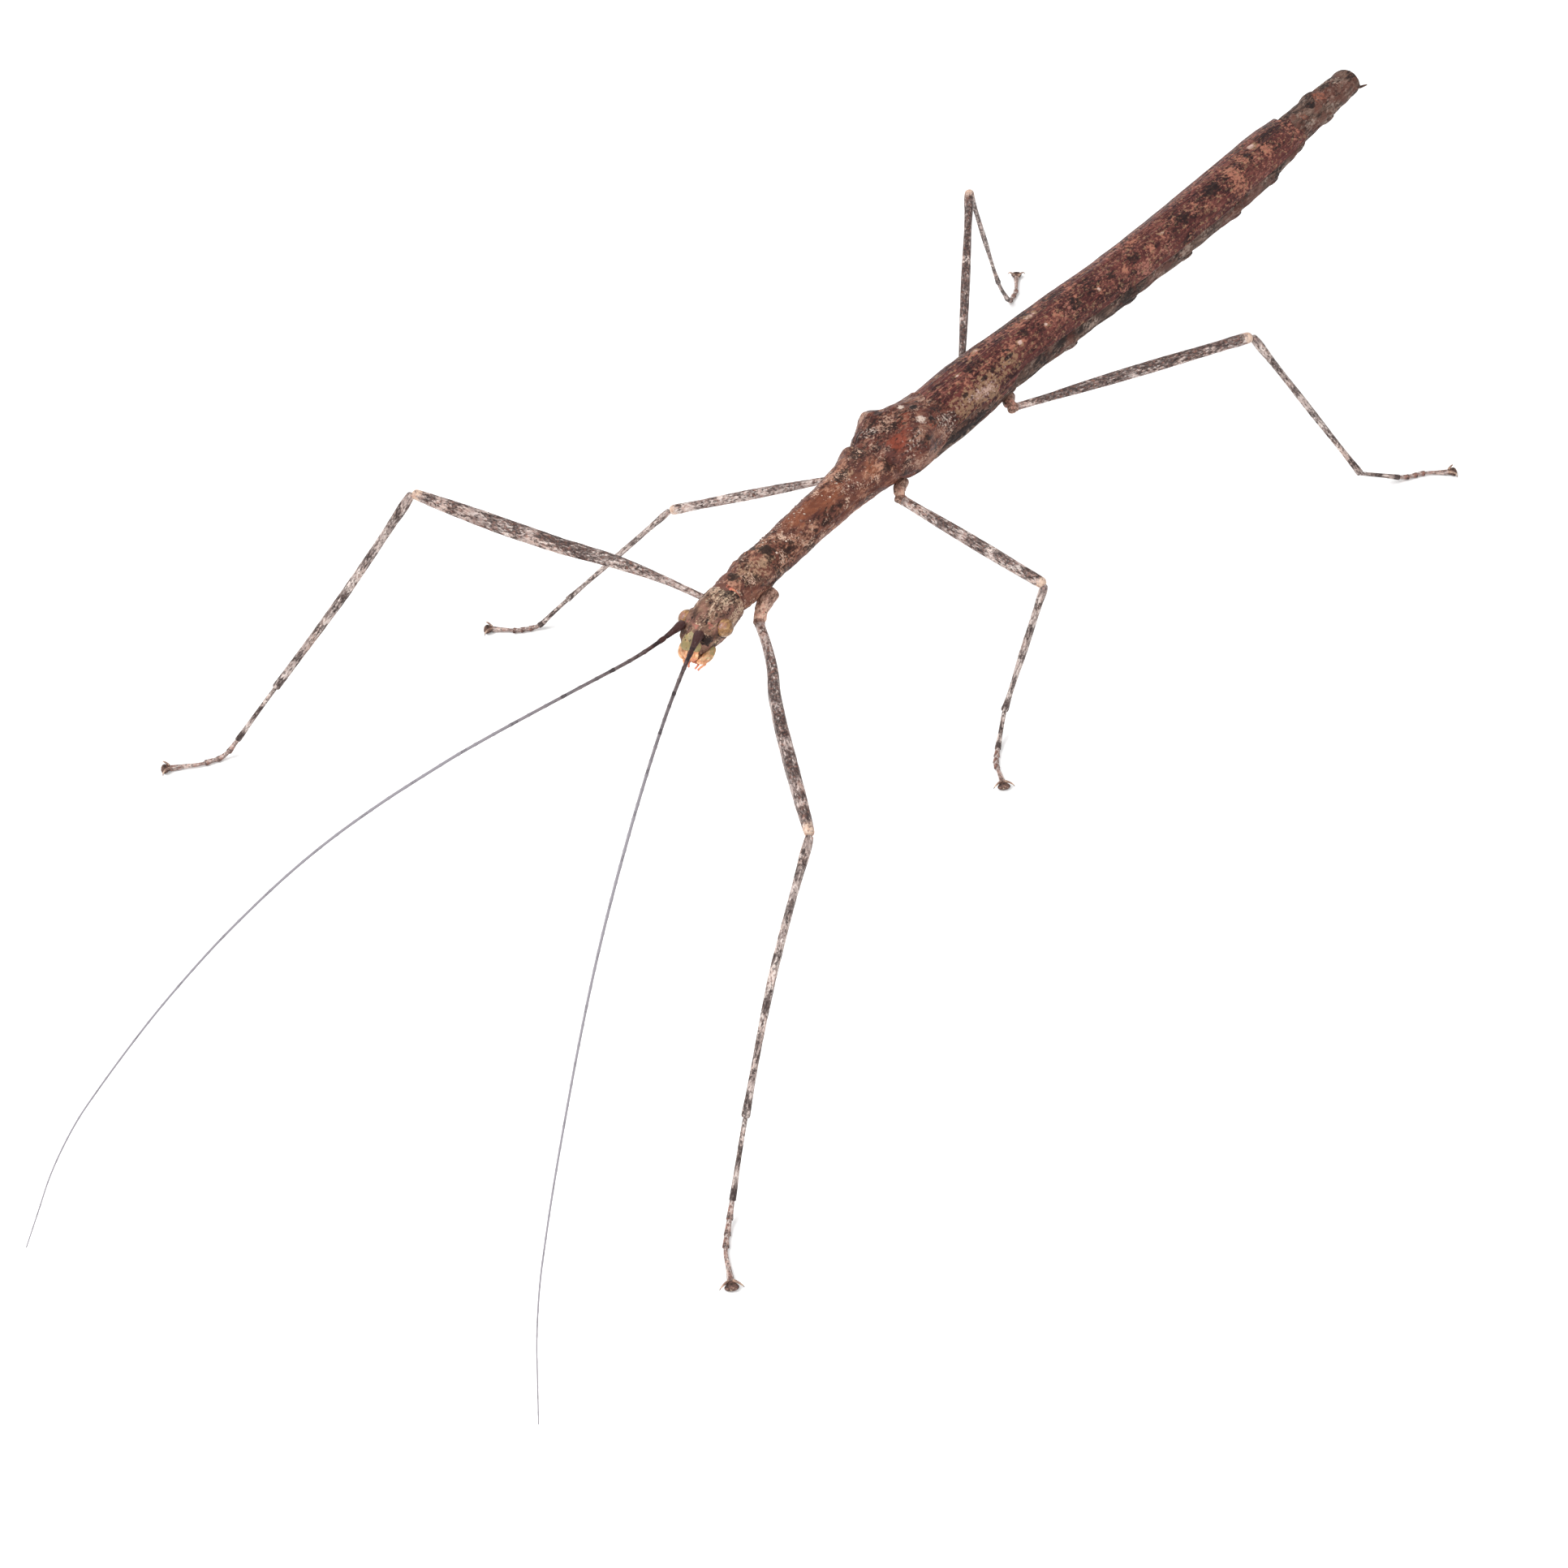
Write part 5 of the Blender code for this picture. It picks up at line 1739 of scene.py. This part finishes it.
@dataclass
class Leg:
    """One leg: coxa, trochanter, femur, tibia, five joints of the foot, pad and claws."""

    pair: Pair
    side: str
    look: LegLook
    coxa_radii: tuple = ((0, 0.56), (0.35, 0.54), (0.7, 0.44), (0.9, 0.42), (1, 0.34))
    pad_radii: tuple = ((0, 0.16), (0.35, 0.3), (0.7, 0.43), (1, 0.3))
    claw_radii: tuple = ((0, 0.09), (0.4, 0.075), (0.8, 0.04), (1, 0.018))
    joint_ends: tuple = (0, 0.47, 0.58, 0.675, 0.76, 1.0)

    def node(self, name: str) -> str:
        """The CAD node's name for a length of this leg."""
        return f"{name}_{self.pair.value}_{self.side}"

    def add(self, name: str, skins: Sequence[Skin], finish: Finish, slot: str, *nodes: str) -> None:
        """Adds a piece of this leg, which stands for this leg's solids of the names in nodes."""
        names = [self.node(node) for node in nodes]
        add_piece(f"{self.pair.value}_{name}_{self.side}", skins, finish, slot, *names)

    def build(self) -> None:
        """Makes the leg from the middle lines of its CAD solids."""
        lines = [[Solid(self.node("coxa")).middle * (0, 1, 1)]]
        for name, count in (("coxa", 4), ("femur", 11), ("tibia", 11), ("tarsus", 12)):
            lines.append(Solid(self.node(name)).centre_line(lines[-1][-1], count))
        _, coxa, femur, tibia, tarsus = lines
        hip, knee, ankle = meeting(coxa, femur), meeting(femur, tibia), meeting(tibia, tarsus)
        self.build_coxa(coxa, hip, femur[2])
        self.build_femur(straight_line(hip, *femur[1:-1], knee, count=60))
        self.build_tibia(straight_line(knee, *tibia[1:-1], ankle, count=60))
        self.build_foot(ankle, tarsus)

    def build_coxa(self, coxa: Array, hip: Array, onward: Array) -> None:
        """The stout first length, set into the body, and the small ring after it."""
        inward = coxa[0] - unit(coxa[1] - coxa[0]) * 0.5
        down = unit(hip - coxa[-1])
        line = straight_line(inward, *coxa, hip - down * 0.1, count=16)

        def outline(part: Array, turn: Array) -> Array:
            """A ridged, roughened cone."""
            wide, tall = heading(turn)
            radius = read_curve(self.coxa_radii, part) * (1.0 if self.pair is Pair.FORE else 0.8)
            radius += 0.04 * rough(np.stack((wide, part * 4, tall), axis=1), 0.5, 71)
            radius += 0.03 * np.cos(3 * (math.tau * turn - math.pi / 2)) * ridge(part - 0.6, 0.5)
            return offsets(radius * wide, radius * tall)

        def paint(spots: Spots) -> Array:
            """Mottled like the body at its root, pinkish below, dark outside and behind."""
            lower = np.clip(spots.part * 3 - 1.0, 0, 1)
            dark = 0.25 + lower * (0.3 - 0.5 * rib(spots.degrees, 90, 75))
            return spots.masks(dark, self.look.coxa_pale * lower, 0.4 * lower)

        cone = Form(line, outline, 40, 0.06, 0.12, paint=paint).build()
        self.add("coxa", [cone], COXA_SKIN, "cuticle", "coxa")
        base = self.look.femur[0]
        line = straight_line(hip - down * 0.22, hip, hip + unit(onward - hip) * 0.42, count=10)
        ring = round_outline(((0, 0.36), (0.4, max(0.36, base)), (1, base * 1.05)))
        self.add("trochanter", [Form(line, ring, 28, 0.05, 0.08).build()], COXA_SKIN, "leg")

    def keeled(self, radii: tuple, keels: tuple, height: float) -> Outline:
        """A round limb with sharp keels along it.

        Args:
            radii: rows of part and radius.
            keels: the angles of the keels in degrees.
            height: how far the keels stand up, as a share of the radius.

        Returns:
            The outline.
        """

        def outline(part: Array, turn: Array) -> Array:
            """Returns sideways, forward and upward offsets."""
            wide, tall = heading(turn)
            raised = height * ridge(part - 0.5, 0.62)
            share = 1 - 0.35 * height + sum(raised * rib(turn * 360 - 90, keel, 24) for keel in keels)
            share += 0.035 * rough(np.stack((wide, part * 60, tall), axis=1), 0.6, 81, 2.0)
            size = read_curve(radii, part) * share
            return offsets(size * wide, size * tall)

        return outline

    def build_femur(self, line: Array) -> None:
        """The femur: pink at its base, dark along its back with pale gaps, and tan at the knee."""

        def paint(spots: Spots) -> Array:
            """Dark back, dotted pale flanks."""
            part, degrees = spots.part, spots.degrees
            base = np.clip(part / (0.12 if self.pair is Pair.HIND else 0.3), 0, 1)
            back = 0.5 + 0.5 * np.sin(np.radians(degrees))
            dark = self.look.shade * base * (0.42 + 0.75 * back)
            for place, half in self.look.femur_pale:
                dark -= 0.35 * ridge(part - place, half * 1.6)
            dark += 0.12 * rough(np.stack((degrees / 60, part * 24, 0 * part), axis=1), 0.7, 91)
            knee = np.clip((part - 0.95) / 0.03, 0, 1)
            return spots.masks(dark * (1 - knee), 0.65 * knee, 0.24 + 0.1 * (1 - base) + 0.1 * knee)

        radii = self.look.femur_radii()
        outline = self.keeled(radii, (45, 135, 205, 335, 270), 0.16)
        femur = Form(line, outline, 30, 0.12, radii[-1][1] * 0.8, paint=paint).build()
        self.add("femur", [femur], LEG_SKIN, "leg", "femur")

    def build_tibia(self, line: Array) -> None:
        """The tibia: dark bands with broken edges on a pale ground."""

        def paint(spots: Spots) -> Array:
            """The bands, and a warm end at the knee."""
            part = spots.part
            bands = sum(0.42 * ridge(part - place, half * 1.7) for place, half in self.look.tibia_dark)
            return spots.masks(0.12 + bands, warm=0.3 * np.clip((0.05 - part) / 0.05, 0, 1))

        radii = self.look.tibia_radii()
        outline = self.keeled(radii, (45, 135, 225, 315), 0.2)
        tibia = Form(line, outline, 26, 0.12, radii[-1][1] * 0.6, paint=paint).build()
        self.add("tibia", [tibia], LEG_SKIN, "leg", "tibia")

    def build_foot(self, ankle: Array, tarsus: Array) -> None:
        """Five joints, each with a soft lobe under its end, then the pad between two claws."""
        end = tarsus[-1] + unit(tarsus[-1] - tarsus[-2]) * 0.3
        knots = measured(straight_line(ankle, *tarsus[1:], end, count=80))
        ends = np.array(self.joint_ends) * knots[-1, 0]
        lines = [read_curve(knots, np.linspace(max(0, a - 0.12), b, 14)) for a, b in zip(ends, ends[1:])]
        joints = [self.foot_joint(line, number) for number, line in enumerate(lines)]
        self.add("tarsus", joints, LEG_SKIN, "leg", "tarsus")
        level = np.array((1, 1, 0))
        ahead = unit((Solid(self.node("claws")).middle - end) * level)
        self.build_pad(end - ahead * 0.1, ahead)
        self.build_claws(end - ahead * 0.1, ahead)

    def foot_joint(self, line: Array, number: int) -> Skin:
        """One joint of the foot: a slim cone that widens to a lobed end."""
        first, last = number == 0, number == len(self.joint_ends) - 2
        base, tip = (0.12 if last else 0.15), 0.2

        def outline(part: Array, turn: Array) -> Array:
            """A cone with a lobe below its far end."""
            wide, tall = heading(turn)
            radius = base + (tip - base) * part ** (3 if first else 1.6)
            lobe = 0.09 * ridge(part - 0.9, 0.3) * np.clip(-tall, 0, 1)
            return offsets((radius + lobe) * wide, radius * tall)

        def paint(spots: Spots) -> Array:
            """Pinkish orange with a dark far end; the first joint is pale and barred."""
            part = spots.part
            if first:
                return spots.masks(0.25 + 0.4 * ridge(part - 0.45, 0.25) + 0.5 * (part > 0.85))
            dark = 0.5 * np.clip((part - 0.55) * 4, 0, 1) * (0.4 if last else 1)
            return spots.masks(0.15 + dark, warm=0.42)

        return Form(line, outline, 20, 0.06, 0.07, paint=paint).build()

    def build_pad(self, base: Array, ahead: Array) -> None:
        """The round pad at the foot's end."""
        line = straight_line(base, base + ahead * 0.35 - UP * 0.02, base + ahead * 0.72, count=12)

        def outline(part: Array, turn: Array) -> Array:
            """Flat below, domed above and widest beyond its middle."""
            wide, tall = heading(turn)
            radius = read_curve(self.pad_radii, part)
            return offsets(radius * wide, radius * tall * np.where(tall > 0, 0.6, 0.5))

        def paint(spots: Spots) -> Array:
            """A dark middle in a paler rim."""
            rim = 0.3 * np.clip((spots.part - 0.85) * 6, 0, 1)
            return spots.masks(0.6 * ridge(spots.part - 0.62, 0.3), rim)

        pad = Form(line, outline, 36, 0.04, 0.16, paint=paint).build()
        self.add("foot_pad", [pad], PAD_SKIN, "pad", "claws")

    def build_claws(self, base: Array, ahead: Array) -> None:
        """The two curved claws at the foot's end."""
        across = np.array((-ahead[1], ahead[0], 0.0))
        curve = np.array(((0, 0, 0), (0.25, 0.25, 0.1), (0.42, 0.46, 0.04), (0.46, 0.58, -0.14)))
        claws = []
        for sign in (1, -1):
            points = base + (curve + (0.12, 0.14, 0.12)) @ np.array((ahead, across * sign, UP))
            line, outline = straight_line(*points, count=16), round_outline(self.claw_radii)
            claws.append(Form(line, outline, 14, 0.04, 0.015, paint=claw_paint).build())
        self.add("claws", claws, CLAW_HORN, "pad")


def claw_paint(spots: Spots) -> Array:
    """A dark point."""
    return spots.masks(np.clip((spots.part - 0.7) * 4, 0, 1))


LEG_LOOKS = {
    (Pair.FORE, "left"): LegLook(
        (0.33, 0.43, 0.36),
        (0.34, 0.26, 0.3),
        ((0.44, 0.03), (0.62, 0.03), (0.8, 0.035), (0.88, 0.02)),
        ((0.13, 0.035), (0.27, 0.035), (0.44, 0.035), (0.61, 0.035), (0.77, 0.04), (0.96, 0.045)),
        0.6,
        0.6,
    ),
    (Pair.FORE, "right"): LegLook(
        (0.24, 0.5, 0.4),
        (0.36, 0.28, 0.3),
        ((0.6, 0.025), (0.79, 0.035), (0.9, 0.02)),
        ((0.12, 0.05), (0.32, 0.045), (0.52, 0.07), (0.68, 0.03), (0.83, 0.03), (0.97, 0.04)),
        0.5,
    ),
    (Pair.MIDDLE, "left"): LegLook(
        (0.34, 0.4, 0.38),
        (0.3, 0.24, 0.3),
        ((0.45, 0.03), (0.65, 0.03), (0.82, 0.03)),
        ((0.14, 0.04), (0.34, 0.045), (0.55, 0.045), (0.75, 0.05), (0.95, 0.05)),
        0.5,
        0.6,
    ),
    (Pair.MIDDLE, "right"): LegLook(
        (0.25, 0.35, 0.37),
        (0.26, 0.2, 0.24),
        ((0.45, 0.03), (0.7, 0.03), (0.88, 0.03)),
        ((0.12, 0.03), (0.3, 0.05), (0.52, 0.04), (0.74, 0.04), (0.95, 0.05)),
        0.36,
    ),
    (Pair.HIND, "left"): LegLook(
        (0.28, 0.42, 0.42),
        (0.34, 0.26, 0.3),
        ((0.5, 0.01),),
        ((0.2, 0.05), (0.38, 0.04), (0.55, 0.04), (0.73, 0.05), (0.92, 0.05)),
        0.6,
    ),
    (Pair.HIND, "right"): LegLook(
        (0.26, 0.34, 0.4),
        (0.26, 0.19, 0.24),
        ((0.3, 0.02), (0.62, 0.02)),
        ((0.2, 0.1), (0.5, 0.1), (0.8, 0.1), (0.97, 0.04)),
        0.58,
    ),
}


@dataclass
class Studio:
    """The pale floor, the soft lights and the camera."""

    target: tuple[float, float, float] = (9.86, -2.66, 8.0)
    azimuth: float = 41.0
    elevation: float = 43.5
    roll: float = -4.5
    lens: float = 65.0
    distance: float = 179.0
    lights: tuple = (
        ("key_light", (-0.25, -0.3, 0.6), 0.5, 4.6),
        ("fill_light", (0.5, -0.25, 0.45), 0.5, 2.0),
    )

    def build(self) -> None:
        """Makes everything that isn't part of the insect."""
        self.build_floor()
        self.build_lights()
        self.build_camera()

    def build_floor(self) -> None:
        """A wide matt floor, its faint mottle the only pattern."""
        skin = bmesh.new()
        bmesh.ops.create_grid(skin, x_segments=4, y_segments=4, size=3.0)
        mesh = bpy.data.meshes.new("studio_floor")
        skin.to_mesh(mesh)
        skin.free()
        paper = bpy.data.materials.new("matt_white_paper")
        paper.use_nodes = True
        tree = paper.node_tree
        shader = tree.nodes["Principled BSDF"]
        place = add_node(tree, "TexCoord", {}, {}).outputs["Object"]
        noise = add_node(tree, "TexNoise", {"Scale": 60.0}, {0: place}).outputs["Fac"]
        shades = {"data_type": "RGBA", 6: linear("#f6f6f6"), 7: linear("#f9f9f9")}
        tint = add_node(tree, "Mix", shades, {0: noise})
        tree.links.new(tint.outputs[2], shader.inputs["Base Color"])
        shader.inputs["Roughness"].default_value = 0.9
        shader.inputs["Specular IOR Level"].default_value = 0.1
        mesh.materials.append(paper)
        floor = bpy.data.objects.new("studio_floor", mesh)
        bpy.context.scene.collection.objects.link(floor)

    def build_lights(self) -> None:
        """A bright white room and two wide soft lights."""
        world = bpy.data.worlds.new("white_room")
        world.use_nodes = True
        background = world.node_tree.nodes["Background"]
        background.inputs["Color"].default_value = (1, 1, 1, 1)
        background.inputs["Strength"].default_value = 0.72
        bpy.context.scene.world = world
        for name, place, size, power in self.lights:
            lamp = bpy.data.lights.new(name, "AREA")
            lamp.size = size
            lamp.energy = power
            light = bpy.data.objects.new(name, lamp)
            light.location = place
            light.rotation_euler = (-light.location).to_track_quat("-Z", "Y").to_euler()
            bpy.context.scene.collection.objects.link(light)
        bpy.context.scene.view_settings.view_transform = "Standard"

    def build_camera(self) -> None:
        """A long lens, ahead of the insect on its left and above it."""
        turn, rise, roll = (math.radians(a) for a in (self.azimuth, self.elevation, self.roll))
        back = np.array((math.sin(turn) * math.cos(rise), -math.cos(turn) * math.cos(rise), math.sin(rise)))
        right = np.array((math.cos(turn), math.sin(turn), 0.0))
        up = np.cross(back, right)
        matrix = np.eye(4)
        matrix[:3, 0] = math.cos(roll) * right + math.sin(roll) * up
        matrix[:3, 1] = math.cos(roll) * up - math.sin(roll) * right
        matrix[:3, 2] = back
        matrix[:3, 3] = (np.array(self.target) + ORIGIN + back * self.distance) * MM
        lens = bpy.data.cameras.new("camera")
        lens.lens = self.lens
        lens.sensor_width = 36.0
        lens.clip_start = 0.005
        camera = bpy.data.objects.new("camera", lens)
        camera.matrix_world = Matrix(matrix.tolist())
        bpy.context.scene.collection.objects.link(camera)
        bpy.context.scene.camera = camera


def main() -> None:
    """Builds the insect, front to rear, and the studio round it."""
    logging.basicConfig(level=logging.INFO, format="%(name)s: %(message)s")
    trunk, head_frame = Trunk(), HeadFrame()
    Head(head_frame).build()
    Feelers().build(head_frame)
    Thorax(trunk).build()
    Wings(trunk).build()
    Abdomen(trunk).build()
    for (pair, side), look in LEG_LOOKS.items():
        Leg(pair, side, look).build()
    Studio().build()


if __name__ == "__main__":
    main()
